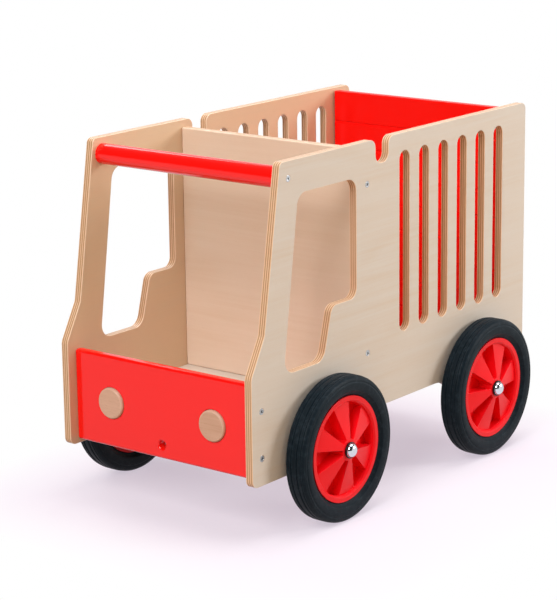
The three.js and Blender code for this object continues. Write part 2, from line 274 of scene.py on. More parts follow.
def draw(name: str, spots: Sequence[Vector]) -> Piece:
    """Draws a line of edges by extruding one vertex from spot to spot.

    Args:
        name: The new object's name.
        spots: The places in metres.

    Returns:
        The object with the line, its last vertex selected.
    """
    bpy.ops.object.select_all(action="DESELECT")
    bpy.ops.mesh.primitive_plane_add(size=MM)
    piece = name_new(name)
    with editing(piece, SelectMode.VERT):
        bpy.ops.mesh.select_all(action="SELECT")
        bpy.ops.mesh.merge(type="CENTER")
        bpy.ops.transform.translate(value=spots[0])
        for start, end in pairwise(spots):
            bpy.ops.mesh.extrude_vertices_move(TRANSFORM_OT_translate={"value": end - start})
    return piece


def board(
    name: str, corners: Sequence[Corner], lay: Callable[[float, float], Vector], depth: Vector
) -> Piece:
    """A flat board: an outline is drawn and filled, its corners are rounded and it is extruded.

    Args:
        name: The new object's name.
        corners: The outline's corners in order.
        lay: Turns a corner's along and up into a place in metres.
        depth: The way and distance that the outline is extruded, in metres.

    Returns:
        The board, closed and facing out.
    """
    spots = [lay(corner.along, corner.up) for corner in corners]
    piece = draw(name, spots)
    with editing(piece, SelectMode.VERT):
        bpy.ops.mesh.select_all(action="SELECT")
        bpy.ops.mesh.edge_face_add()
        for index, corner in enumerate(corners):
            if corner.radius == 0:
                continue
            spot = spots[index]
            turn = (spot - spots[index - 1]).angle(spots[(index + 1) % len(spots)] - spot)
            pick(piece, SelectMode.VERT, lambda middle: (middle - spot).length < TOUCH)
            width = corner.radius * MM * math.tan(turn / 2)
            bpy.ops.mesh.bevel(offset=width, segments=ROUND_STEPS, affect="VERTICES")
        bpy.ops.mesh.select_all(action="SELECT")
        bpy.ops.mesh.extrude_region_move(TRANSFORM_OT_translate={"value": depth})
        bpy.ops.mesh.select_all(action="SELECT")
        bpy.ops.mesh.normals_make_consistent(inside=False)
    return piece


def block(name: str, box: NodeBox) -> Piece:
    """A plain block that fills a box, to be shaped further.

    Args:
        name: The new object's name.
        box: The box to fill.

    Returns:
        The block.
    """
    bpy.ops.object.select_all(action="DESELECT")
    bpy.ops.mesh.primitive_cube_add(size=1, location=box.middle)
    piece = name_new(name)
    piece.scale = box.size
    bpy.ops.object.transform_apply(location=True, rotation=True, scale=True)
    return piece


def turned(name: str, profile: Sequence[tuple[float, float]], steps: int) -> Piece:
    """A piece turned about X: its profile is drawn and spun.

    Args:
        name: The new object's name.
        profile: Points of along X and reach in millimetres.
        steps: The number of facets round the piece.

    Returns:
        The turned piece, at the origin, closed and facing out.
    """
    piece = draw(name, [Vector((along, 0, reach)) * MM for along, reach in profile])
    with editing(piece, SelectMode.VERT):
        bpy.ops.mesh.select_all(action="SELECT")
        bpy.ops.mesh.spin(steps=steps, angle=FULL_TURN, center=(0, 0, 0), axis=Axis.X.vector)
        bpy.ops.mesh.select_all(action="SELECT")
        bpy.ops.mesh.remove_doubles(threshold=TOUCH)
        bpy.ops.mesh.normals_make_consistent(inside=False)
    return piece


def rod(name: str, start: float, end: float, radius: float, steps: int) -> Piece:
    """A plain rod about X, from its start to its end."""
    return turned(name, [(start, 0), (start, radius), (end, radius), (end, 0)], steps)


def place(piece: Piece, matrix: Matrix) -> Piece:
    """Moves a piece and applies the move, so that its place is in its mesh.

    Args:
        piece: The piece to move.
        matrix: Where it goes.

    Returns:
        The same piece.
    """
    take_up(piece)
    piece.matrix_world = matrix
    bpy.ops.object.transform_apply(location=True, rotation=True, scale=True)
    return piece


def copy_of(pattern: Piece, name: str, matrix: Matrix) -> Piece:
    """A copy of a pattern with a mesh of its own, put in its place.

    Args:
        pattern: The piece to copy.
        name: The copy's name.
        matrix: Where the copy goes.

    Returns:
        The copy.
    """
    piece = pattern.copy()
    piece.data = pattern.data.copy()
    piece.name = piece.data.name = name
    bpy.context.scene.collection.objects.link(piece)
    return place(piece, matrix)


def discard(*pieces: Piece) -> None:
    """Removes pieces that were only tools or patterns.

    Args:
        *pieces: The pieces to remove.
    """
    for piece in pieces:
        mesh = piece.data
        bpy.data.objects.remove(piece)
        bpy.data.meshes.remove(mesh)


def apply_modifier(piece: Piece, modifier: bpy.types.Modifier) -> None:
    """Applies a modifier to its piece."""
    take_up(piece)
    bpy.ops.object.modifier_apply(modifier=modifier.name)


def carve(piece: Piece, tools: Sequence[Piece]) -> None:
    """Cuts tools out of a piece in one go and removes them.

    Args:
        piece: The piece to cut.
        tools: Closed shapes that don't overlap each other.
    """
    take_up(tools[0])
    for tool in tools:
        tool.select_set(True)
    bpy.ops.object.join()
    joined = bpy.context.object
    cut = piece.modifiers.new("carve", "BOOLEAN")
    cut.operation = "DIFFERENCE"
    cut.solver = "EXACT"
    cut.object = joined
    apply_modifier(piece, cut)
    discard(joined)


def ease(piece: Piece, radius: float, steps: int = 4, sharp: float = 40.0) -> None:
    """Rounds the sharp edges of a piece and gives the rounded strips a material index of their own.

    Args:
        piece: The piece to ease.
        radius: The radius in millimetres.
        steps: The number of facets across a rounded edge.
        sharp: Edges that turn more than this many degrees are rounded.
    """
    if not piece.data.materials:
        piece.data.materials.append(None)
        piece.data.materials.append(None)
    bevel = piece.modifiers.new("ease", "BEVEL")
    bevel.width = radius * MM
    bevel.segments = steps
    bevel.limit_method = "ANGLE"
    bevel.angle_limit = math.radians(sharp)
    bevel.material = ROUNDED
    apply_modifier(piece, bevel)


def settle(piece: Piece, sharp: float = 35.0) -> Piece:
    """Notes the points on rounded edges and smooths the shading, with flats kept flat.

    Args:
        piece: The finished piece.
        sharp: Edges that turn more than this many degrees stay sharp.

    Returns:
        The same piece.
    """
    mesh = piece.data
    plain = {spot for face in mesh.polygons if face.material_index != ROUNDED for spot in face.vertices}
    marks = mesh.attributes.new("edge", "FLOAT", "POINT")
    marks.data.foreach_set("value", [float(index not in plain) for index in range(len(mesh.vertices))])
    take_up(piece)
    bpy.ops.object.shade_smooth_by_angle(angle=math.radians(sharp))
    weighted = piece.modifiers.new("settle", "WEIGHTED_NORMAL")
    weighted.keep_sharp = True
    apply_modifier(piece, weighted)
    return piece


# Shader node groups


@dataclass(frozen=True)
class Noise:
    """A noise pattern.

    Attributes:
        stretch: Cycles per metre along each coordinate.
        detail: The number of finer layers.
        roughness: How strong the finer layers are.
        window: The part of the noise's range that counts, or all of it.
        result: What the ends of the window become.
    """

    stretch: Spot
    detail: float
    roughness: float = 0.55
    window: Span | None = None
    result: Span = (0.0, 1.0)


STREAKS = Noise((5, 260, 260), 5, 0.6)
FIGURE = Noise((1.8, 15, 15), 2)
PATCHES = Noise((3.5, 11, 11), 2, window=(0.4, 0.64), result=(0.45, 1.3))
PORES = Noise((110, 1900, 1900), 2, window=(0.6, 0.74))
FLECKS = Noise((150, 900, 900), 1, window=(0.6, 0.68))
SMUDGES = Noise((13, 13, 13), 4, 0.6, (0.3, 0.72))
GRIT = Noise((1300, 1300, 1300), 2)
WEAR_AND_LIGHT_PLACES = Noise((90, 90, 90), 4, 0.65, (0.38, 0.66), (0.25, 1.0))
ORANGE_PEEL = Noise((420, 420, 420), 2)
SCUFFS = Noise((160, 160, 160), 5, 0.7, (0.5, 0.68), (0.0, 0.5))


class NodeSheet:
    """A node tree in the making, with short calls for its nodes."""

    def __init__(self, tree: bpy.types.NodeTree) -> None:
        """Clears the node tree of a material, a world or a group."""
        self.tree = tree
        tree.nodes.clear()

    def node(self, kind: str, feeds: dict[Any, Any] | None = None, **settings: Any) -> bpy.types.Node:
        """Adds a node.

        Args:
            kind: The node's type.
            feeds: Input names or indices, with a value or a socket for each.
            **settings: The node's own properties.

        Returns:
            The node.
        """
        made = self.tree.nodes.new(kind)
        for key, value in settings.items():
            setattr(made, key, value)
        for key, value in (feeds or {}).items():
            self.feed(made.inputs[key], value)
        return made

    def feed(self, socket: Socket, value: Any) -> None:
        """Links an input to another node's output, or sets its value.

        Args:
            socket: The input.
            value: The output or the value.
        """
        if isinstance(value, Socket):
            self.tree.links.new(value, socket)
        else:
            socket.default_value = value

    def calc(self, operation: str, first: Any, second: Any = 0.0) -> Socket:
        """A number worked out from one or two others."""
        return self.node("ShaderNodeMath", {0: first, 1: second}, operation=operation).outputs[0]

    def share(self, value: Socket, share: float) -> Socket:
        """A share of a number."""
        return self.calc("MULTIPLY", value, share)

    def vector(self, operation: str, first: Any, second: Any = (0, 0, 0)) -> Socket:
        """A vector, or a number where the operation gives one, worked out from one or two vectors."""
        made = self.node("ShaderNodeVectorMath", {0: first, 1: second}, operation=operation)
        return made.outputs["Value" if operation in ("DOT_PRODUCT", "LENGTH") else "Vector"]

    def remap(self, value: Socket, low: float, high: float, start: float = 0.0, end: float = 1.0) -> Socket:
        """A number taken from one range to another and held inside it."""
        feeds = {"Value": value, "From Min": low, "From Max": high, "To Min": start, "To Max": end}
        return self.node("ShaderNodeMapRange", feeds).outputs["Result"]

    def mix(self, share: Any, first: Any, second: Any) -> Socket:
        """A colour between two others."""
        return self.node("ShaderNodeMix", {0: share, 6: first, 7: second}, data_type="RGBA").outputs[2]

    def noise(self, spots: Socket, pattern: Noise) -> Socket:
        """Noise over a surface.

        Args:
            spots: The coordinates in metres.
            pattern: What the noise is like.

        Returns:
            The noise, with the pattern's window taken to its result.
        """
        feeds = {
            "Vector": self.vector("MULTIPLY", spots, pattern.stretch),
            "Scale": 1.0,
            "Detail": pattern.detail,
            "Roughness": pattern.roughness,
        }
        whole = self.node("ShaderNodeTexNoise", feeds).outputs[0]
        return self.remap(whole, *pattern.window, *pattern.result) if pattern.window else whole


class GroupSheet(NodeSheet):
    """The sheet of a new node group, whose outputs are all numbers."""

    def __init__(self, name: str, inputs: dict[str, str], outputs: Sequence[str]) -> None:
        """Makes the group and its sockets.

        Args:
            name: The group's name.
            inputs: Input names with their socket types.
            outputs: Names of the outputs.
        """
        super().__init__(bpy.data.node_groups.new(name, "ShaderNodeTree"))
        for key, kind in inputs.items():
            self.tree.interface.new_socket(key, in_out="INPUT", socket_type=kind)
        for key in outputs:
            self.tree.interface.new_socket(key, in_out="OUTPUT", socket_type="NodeSocketFloat")
        self.inputs = self.node("NodeGroupInput").outputs

    def close(self, **results: Socket) -> bpy.types.NodeTree:
        """Feeds the group's outputs, by their names, and gives the group."""
        self.node("NodeGroupOutput", results)
        return self.tree


def grain_group(name: str) -> bpy.types.NodeTree:
    """Wood grain along the first coordinate: streaks, broad figure and fine pores.

    Args:
        name: The group's name.

    Returns:
        The group.
    """
    figure_lines = 46.0
    streak_share = 0.8
    figure_share = 0.14
    pore_share = 0.5
    drawn_low, drawn_high = 0.25, 0.72
    sheet = GroupSheet(name, {"Coordinates": "NodeSocketVector"}, ("Tone", "Pores", "Height"))
    spots = sheet.inputs["Coordinates"]
    streaks = sheet.noise(spots, STREAKS)
    rings = sheet.calc("SINE", sheet.share(sheet.noise(spots, FIGURE), figure_lines))
    figure = sheet.remap(rings, -1, 1)
    pores = sheet.noise(spots, PORES)
    drawn = sheet.calc("ADD", sheet.share(streaks, streak_share), sheet.share(figure, figure_share))
    tone = sheet.calc("MULTIPLY", sheet.remap(drawn, drawn_low, drawn_high), sheet.noise(spots, PATCHES))
    height = sheet.calc("SUBTRACT", streaks, sheet.share(pores, pore_share))
    return sheet.close(Tone=tone, Pores=pores, Height=height)


def plies_group(name: str) -> bpy.types.NodeTree:
    """The layers of plywood through its thickness, from 0 to 1: cross plies and glue lines.

    Args:
        name: The group's name.

    Returns:
        The group.
    """
    half = 0.5
    line_core, line_edge = 0.04, 0.2
    numbers = {"Depth": "NodeSocketFloat", "Plies": "NodeSocketFloat"}
    sheet = GroupSheet(name, numbers, ("Cross", "Glue"))
    plies = sheet.inputs["Plies"]
    layer = sheet.calc("MULTIPLY", sheet.inputs["Depth"], plies)
    cross = sheet.calc("MODULO", sheet.calc("FLOOR", layer), 2.0)
    within = sheet.calc("FRACT", sheet.calc("ADD", layer, half))
    beside = sheet.calc("ABSOLUTE", sheet.calc("SUBTRACT", within, half))
    line = sheet.remap(beside, line_core, line_edge, 1.0, 0.0)
    above = sheet.calc("GREATER_THAN", layer, half)
    below = sheet.calc("LESS_THAN", layer, sheet.calc("SUBTRACT", plies, half))
    glue = sheet.calc("MULTIPLY", line, sheet.calc("MULTIPLY", above, below))
    return sheet.close(Cross=cross, Glue=glue)


def handling_group(name: str) -> bpy.types.NodeTree:
    """Marks of handling: wide smudges and fine grit.

    Args:
        name: The group's name.

    Returns:
        The group.
    """
    sheet = GroupSheet(name, {"Coordinates": "NodeSocketVector"}, ("Smudge", "Grit"))
    spots = sheet.inputs["Coordinates"]
    return sheet.close(Smudge=sheet.noise(spots, SMUDGES), Grit=sheet.noise(spots, GRIT))


def wear_and_light_group(name: str) -> bpy.types.NodeTree:
    """Wear and painted light along the rounded edges, broken up by noise.

    Args:
        name: The group's name.

    Returns:
        The group.
    """
    sheet = GroupSheet(name, {"Edge": "NodeSocketFloat", "Coordinates": "NodeSocketVector"}, ("Worn",))
    places = sheet.noise(sheet.inputs["Coordinates"], WEAR_AND_LIGHT_PLACES)
    return sheet.close(Worn=sheet.calc("MULTIPLY", sheet.inputs["Edge"], places))


class Effect(Enum):
    """An effect that several finishes share, by the name of its node group."""

    GRAIN = "wood_grain"
    PLIES = "ply_stack"
    HANDLING = "handling_marks"
    WEAR = "edge_wear"

    def tree(self) -> bpy.types.NodeTree:
        """The effect's node group, built at its first use."""
        found = bpy.data.node_groups.get(self.value)
        return found or EFFECT_BUILDERS[self](self.value)


EFFECT_BUILDERS = {
    Effect.GRAIN: grain_group,
    Effect.PLIES: plies_group,
    Effect.HANDLING: handling_group,
    Effect.WEAR: wear_and_light_group,
}


class Surface(NodeSheet):
    """A material's sheet, with its shader, the coordinates that its patterns lie on and its effects."""

    def __init__(self, material: bpy.types.Material) -> None:
        """Sets up the shader and the coordinates.

        Args:
            material: The new material.
        """
        material.use_nodes = True
        super().__init__(material.node_tree)
        self.shader = self.node("ShaderNodeBsdfPrincipled")
        self.node("ShaderNodeOutputMaterial", {"Surface": self.shader.outputs["BSDF"]})
        texture = self.node("ShaderNodeTexCoord").outputs
        self.lie = texture["Object"]
        self.normal = texture["Normal"]

    def effect(self, effect: Effect, feeds: dict[str, Any]) -> bpy.types.NodeOutputs:
        """Places a shared effect and gives its outputs."""
        return self.node("ShaderNodeGroup", feeds, node_tree=effect.tree()).outputs

    def grain(self) -> bpy.types.NodeOutputs:
        """The wood's grain."""
        return self.effect(Effect.GRAIN, {"Coordinates": self.lie})

    def marks(self) -> bpy.types.NodeOutputs:
        """The marks of handling."""
        return self.effect(Effect.HANDLING, {"Coordinates": self.lie})

    def mark(self, attribute: str) -> Socket:
        """A number that the mesh holds at its points."""
        return self.node("ShaderNodeAttribute", attribute_name=attribute).outputs["Fac"]

    def worn(self) -> Socket:
        """The wear and painted light along the rounded edges: real wear on some finishes, a painted
        highlight or shade on others.
        """
        return self.effect(Effect.WEAR, {"Edge": self.mark("edge"), "Coordinates": self.lie})["Worn"]

    def blend(self, mask: Socket, share: float, first: Any, second: Any) -> Socket:
        """A colour that goes a share of the way to a second one where a mask shows."""
        return self.mix(self.share(mask, share), first, second)


# Finishes


class Cover(NamedTuple):
    """What changes over a surface: its colour, where it is rougher and its fine relief."""

    colour: Socket
    rougher: Socket
    relief: Socket


@dataclass(frozen=True, kw_only=True)
class Finish:
    """A surface finish, with the record's slot that it belongs to."""

    name: str
    slot: Slot
    roughness: Span
    relief_strength: float
    relief_depth: float
    specular: float = 0.5
    coat: float = 0.0
    coat_roughness: float = 0.03
    coat_ior: float = 1.5
    metallic: float = 0.0

    def material(self) -> bpy.types.Material:
        """The finish's material, built at its first use.

        Returns:
            The material.
        """
        found = bpy.data.materials.get(self.name)
        if found:
            return found
        made = bpy.data.materials.new(self.name)
        surface = Surface(made)
        cover = self.lay(surface)
        relief = {
            "Height": cover.relief,
            "Strength": self.relief_strength,
            "Distance": self.relief_depth * MM,
        }
        feeds = {
            "Base Color": cover.colour,
            "Roughness": surface.remap(cover.rougher, 0, 1, *self.roughness),
            "Normal": surface.node("ShaderNodeBump", relief).outputs["Normal"],
            "Specular IOR Level": self.specular,
            "Coat Weight": self.coat,
            "Coat Roughness": self.coat_roughness,
            "Coat IOR": self.coat_ior,
            "Metallic": self.metallic,
        }
        for key, value in feeds.items():
            surface.feed(surface.shader.inputs[key], value)
        return made

    def lay(self, surface: Surface) -> Cover:
        """Lays the finish. Each finish has its own way."""
        raise NotImplementedError


@dataclass(frozen=True, kw_only=True)
class Plywood(Finish):
    """Clear-lacquered birch plywood: a pale veneer on its better faces and a warmer colour on its back
    faces, which is painted warm shade; layers on its edges, paler on the rounded edges where a highlight is
    painted.
    """

    through: Axis
    along: Axis
    start: float
    thickness: float
    slot: Slot = Slot.PLYWOOD
    roughness: Span = (0.34, 0.48)
    relief_strength: float = 0.14
    relief_depth: float = 0.3
    specular: float = 0.3
    coat: float = 0.35
    coat_roughness: float = 0.28
    plies: float = 7.0
    veneer: Colour = (0.69, 0.635, 0.56, 1)
    # The back colour is painted warm shade: the inner faces, which sit in the shaded bed, take the warm
    # bounced light as colour.
    back: Colour = (0.69, 0.49, 0.31, 1)
    streak: Colour = (0.64, 0.49, 0.345, 1)
    pore: Colour = (0.4, 0.25, 0.13, 1)
    long_ply: Colour = (0.85, 0.6, 0.41, 1)
    cross_ply: Colour = (0.5, 0.28, 0.135, 1)
    glue: Colour = (0.22, 0.105, 0.045, 1)
    # Paler rounded edges: partly sanded wood, partly a painted highlight along the edges.
    sanded_highlight: Colour = (0.86, 0.71, 0.58, 1)
    streak_share: float = 0.4
    pore_share: float = 0.12
    edge_streak_share: float = 0.2
    glue_share: float = 0.55
    sanded_highlight_share: float = 0.65
    face_turn: Span = (0.45, 0.95)
    face_margin: float = 0.002

    def lay(self, surface: Surface) -> Cover:
        """Lays veneer on the faces, plies on the edges and a paler colour on the rounded edges, partly
        sanded wood and partly a painted highlight.

        Args:
            surface: The material's sheet.

        Returns:
            What changes over the surface.
        """
        parts = surface.node("ShaderNodeSeparateXYZ", {0: surface.lie}).outputs
        across = next(axis for axis in Axis if axis not in (self.through, self.along))
        order = enumerate((self.along, across, self.through))
        grain_first = {index: parts[axis.value] for index, axis in order}
        surface.lie = surface.node("ShaderNodeCombineXYZ", grain_first).outputs[0]
        grain = surface.grain()
        outward = surface.calc("ABSOLUTE", parts[self.through.value])
        end = self.start + self.thickness
        depth = surface.remap(outward, self.start, end, self.face_margin, 1 - self.face_margin)
        stack = surface.effect(Effect.PLIES, {"Depth": depth, "Plies": self.plies})
        facing = surface.vector("DOT_PRODUCT", surface.normal, self.through.vector)
        flat = surface.remap(surface.calc("ABSOLUTE", facing), *self.face_turn)
        # Painted warm shade: the back faces take the warmer back colour.
        face = surface.mix(surface.calc("GREATER_THAN", depth, 0.5), self.back, self.veneer)
        face = surface.blend(grain["Tone"], self.streak_share, face, self.streak)
        face = surface.blend(grain["Pores"], self.pore_share, face, self.pore)
        edge = surface.mix(stack["Cross"], self.long_ply, self.cross_ply)
        edge = surface.blend(grain["Tone"], self.edge_streak_share, edge, self.cross_ply)
        edge = surface.blend(stack["Glue"], self.glue_share, edge, self.glue)
        colour = surface.mix(flat, edge, face)
        # Painted highlight: the rounded edges turn paler, partly sanded wood and partly painted light.
        colour = surface.blend(surface.worn(), self.sanded_highlight_share, colour, self.sanded_highlight)
        return Cover(colour, surface.marks()["Smudge"], grain["Height"])


@dataclass(frozen=True, kw_only=True)
class Beech(Finish):
    """Clear-lacquered beech with short flecks, its grain across the transporter."""

    slot: Slot = Slot.BEECH
    roughness: Span = (0.38, 0.5)
    relief_strength: float = 0.15
    relief_depth: float = 0.3
    specular: float = 0.42
    light: Colour = (0.68, 0.44, 0.33, 1)
    dark: Colour = (0.5, 0.29, 0.19, 1)
    # Paler rim: partly worn edge, partly a painted highlight round the disc.
    rim: Colour = (0.74, 0.55, 0.4, 1)
    grain_share: float = 0.7
    fleck_share: float = 0.35
    rim_share: float = 0.7

    def lay(self, surface: Surface) -> Cover:
        """Lays the grain, its flecks and the paler rim, which is partly worn edge and partly a painted
        highlight.

        Args:
            surface: The material's sheet.

        Returns:
            What changes over the surface.
        """
        grain = surface.grain()
        flecks = surface.noise(surface.lie, FLECKS)
        colour = surface.blend(grain["Tone"], self.grain_share, self.light, self.dark)
        colour = surface.blend(flecks, self.fleck_share, colour, self.dark)
        # Painted highlight: the rim turns paler, partly worn edge and partly painted light.
        colour = surface.blend(surface.worn(), self.rim_share, colour, self.rim)
        return Cover(colour, grain["Tone"], grain["Height"])


@dataclass(frozen=True, kw_only=True)
class RedLacquer(Finish):
    """Opaque red lacquer, through which the wood's grain still shows as relief."""

    slot: Slot = Slot.LACQUER
    roughness: Span = (0.34, 0.46)
    relief_strength: float = 0.05
    relief_depth: float = 0.25
    specular: float = 0.03
    coat: float = 1.0
    coat_roughness: float = 0.08
    coat_ior: float = 1.4
    red: Colour = (0.98, 0.005, 0.003, 1)
    deep: Colour = (0.92, 0.004, 0.002, 1)
    # Darker red on the rounded edges: partly thinner lacquer, partly painted shade.
    thin_and_shaded: Colour = (0.74, 0.008, 0.004, 1)
    grain_share: float = 0.2
    thin_and_shaded_share: float = 0.45
    grit_share: float = 0.3

    def lay(self, surface: Surface) -> Cover:
        """Lays the colour over the grain, darker on the rounded edges: partly thinner lacquer, partly
        painted shade.

        Args:
            surface: The material's sheet.

        Returns:
            What changes over the surface.
        """
        grain = surface.grain()
        marks = surface.marks()
        colour = surface.blend(grain["Tone"], self.grain_share, self.red, self.deep)
        # Painted shade: the rounded edges turn darker, partly thinner lacquer and partly painted shade.
        colour = surface.blend(surface.worn(), self.thin_and_shaded_share, colour, self.thin_and_shaded)
        relief = surface.calc("ADD", grain["Height"], surface.share(marks["Grit"], self.grit_share))
        return Cover(colour, marks["Smudge"], relief)


@dataclass(frozen=True, kw_only=True)
class RedPlastic(Finish):
    """Moulded red plastic with a slight orange peel."""

    slot: Slot = Slot.PLASTIC
    roughness: Span = (0.28, 0.4)
    relief_strength: float = 0.06
    relief_depth: float = 0.2
    specular: float = 0.22
    red: Colour = (0.95, 0.006, 0.014, 1)
    deep: Colour = (0.86, 0.004, 0.008, 1)
    rubbed: Colour = (0.95, 0.03, 0.04, 1)
    deep_share: float = 0.35
    rubbed_share: float = 0.4

    def lay(self, surface: Surface) -> Cover:
        """Lays the colour, the rubbed edges and the peel.

        Args:
            surface: The material's sheet.

        Returns:
            What changes over the surface.
        """
        smudge = surface.marks()["Smudge"]
        colour = surface.blend(smudge, self.deep_share, self.red, self.deep)
        colour = surface.blend(surface.worn(), self.rubbed_share, colour, self.rubbed)
        return Cover(colour, smudge, surface.noise(surface.lie, ORANGE_PEEL))


@dataclass(frozen=True, kw_only=True)
class Rubber(Finish):
    """Solid black rubber with mould rings on its side walls, a little dust, painted grey highlights on its
    rib edges and a painted bluish sheen in its colour.
    """

    slot: Slot = Slot.RUBBER
    roughness: Span = (0.42, 0.56)
    relief_strength: float = 0.22
    relief_depth: float = 0.25
    specular: float = 0.11
    # Both colours are tinted blue: a painted bluish sheen on the black rubber.
    black: Colour = (0.003, 0.0083, 0.013, 1)
    dust: Colour = (0.022, 0.036, 0.047, 1)
    ring_pitch: float = 2.1
    ring_crest: Span = (0.4, 1.0)
    dust_and_highlight_edge_share: float = 0.55
    grit_share: float = 0.6

    def lay(self, surface: Surface) -> Cover:
        """Lays the rubber, its dust and painted highlights, and its rings.

        Args:
            surface: The material's sheet.

        Returns:
            What changes over the surface.
        """
        marks = surface.marks()
        rings = surface.calc("SINE", surface.share(surface.mark("reach"), FULL_TURN / self.ring_pitch))
        scuffs = surface.noise(surface.lie, SCUFFS)
        # The scuffs are dust; the rounded rib edges take the dust colour too, as a painted highlight.
        dust_and_highlight = surface.calc("ADD", scuffs, surface.share(surface.worn(), self.dust_and_highlight_edge_share))
        crests = surface.remap(rings, *self.ring_crest)
        relief = surface.calc("ADD", crests, surface.share(marks["Grit"], self.grit_share))
        return Cover(surface.mix(dust_and_highlight, self.black, self.dust), marks["Smudge"], relief)


@dataclass(frozen=True, kw_only=True)
class Metal(Finish):
    """Bare or plated metal."""

    roughness: Span = (0.26, 0.42)
    relief_strength: float = 0.05
    relief_depth: float = 0.05
    metallic: float = 1.0
    bright: Colour = (0.6, 0.61, 0.62, 1)
    dull: Colour = (0.44, 0.44, 0.44, 1)

    def lay(self, surface: Surface) -> Cover:
        """Lays the metal, duller where it was handled.

        Args:
            surface: The material's sheet.

        Returns:
            What changes over the surface.
        """
        marks = surface.marks()
        colour = surface.mix(marks["Smudge"], self.bright, self.dull)
        return Cover(colour, marks["Smudge"], marks["Grit"])


LACQUER = RedLacquer(name="glossy_red")
RAMP_LACQUER = RedLacquer(name="satin_red", coat=0.35, coat_roughness=0.2)
PLASTIC = RedPlastic(name="moulded_red")
RUBBER = Rubber(name="black_rubber")
BEECH = Beech(name="turned_beech")
STEEL = Metal(name="zinc_steel", slot=Slot.STEEL)
CHROME = Metal(
    name="polished_chrome",
    slot=Slot.CHROME,
    roughness=(0.05, 0.12),
    bright=(0.7, 0.73, 0.78, 1),
    dull=(0.62, 0.65, 0.7, 1),
)
# Near-black skirt colour: partly blackened spring steel, partly painted shade round the hub cap.
SHADED_SPRING_STEEL = Metal(
    name="shaded_spring_steel",
    slot=Slot.CHROME,
    roughness=(0.35, 0.5),
    bright=(0.03, 0.03, 0.034, 1),
    dull=(0.05, 0.05, 0.05, 1),
)


def present(piece: Piece, node: str, body: str, finish: Finish) -> None:
    """Dresses a finished piece and puts it in the place of its CAD node.

    Args:
        piece: The finished piece.
        node: The CAD node that it stands for.
        body: The CAD body that it moves with.
        finish: Its finish.
    """
    piece.data.materials.clear()
    piece.data.materials.append(finish.material())
    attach(piece, body)
    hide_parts(node)
    LOG.info("%s stands for %s on %s, %d faces", piece.name, node, body, len(piece.data.polygons))


# Sub-assemblies


@dataclass(frozen=True)
class ScrewPlace:
    """Where a screw stands on both side panels."""

    name: str
    setback: float
    height: float

    def stand(self, datum: Datum, hand: Hand) -> Matrix:
        """Puts a piece that faces +X at the origin on the outer face of a panel."""
        face = datum.spot(hand.value * datum.outside, self.setback, self.height)
        return Matrix.Translation(face) @ hand.outward


SCREW_PLACES = (
    ScrewPlace("crossbar_screw", 71, 345),
    ScrewPlace("partition_screw_upper", 221.5, 314),
    ScrewPlace("partition_screw_lower", 221.5, 110),
    ScrewPlace("bumper_screw_upper", 17.5, 87.5),
    ScrewPlace("bumper_screw_lower", 17.5, 32),
    ScrewPlace("floor_screw_front", 138, 47),
    ScrewPlace("floor_screw_rear", 453.5, 47),
)


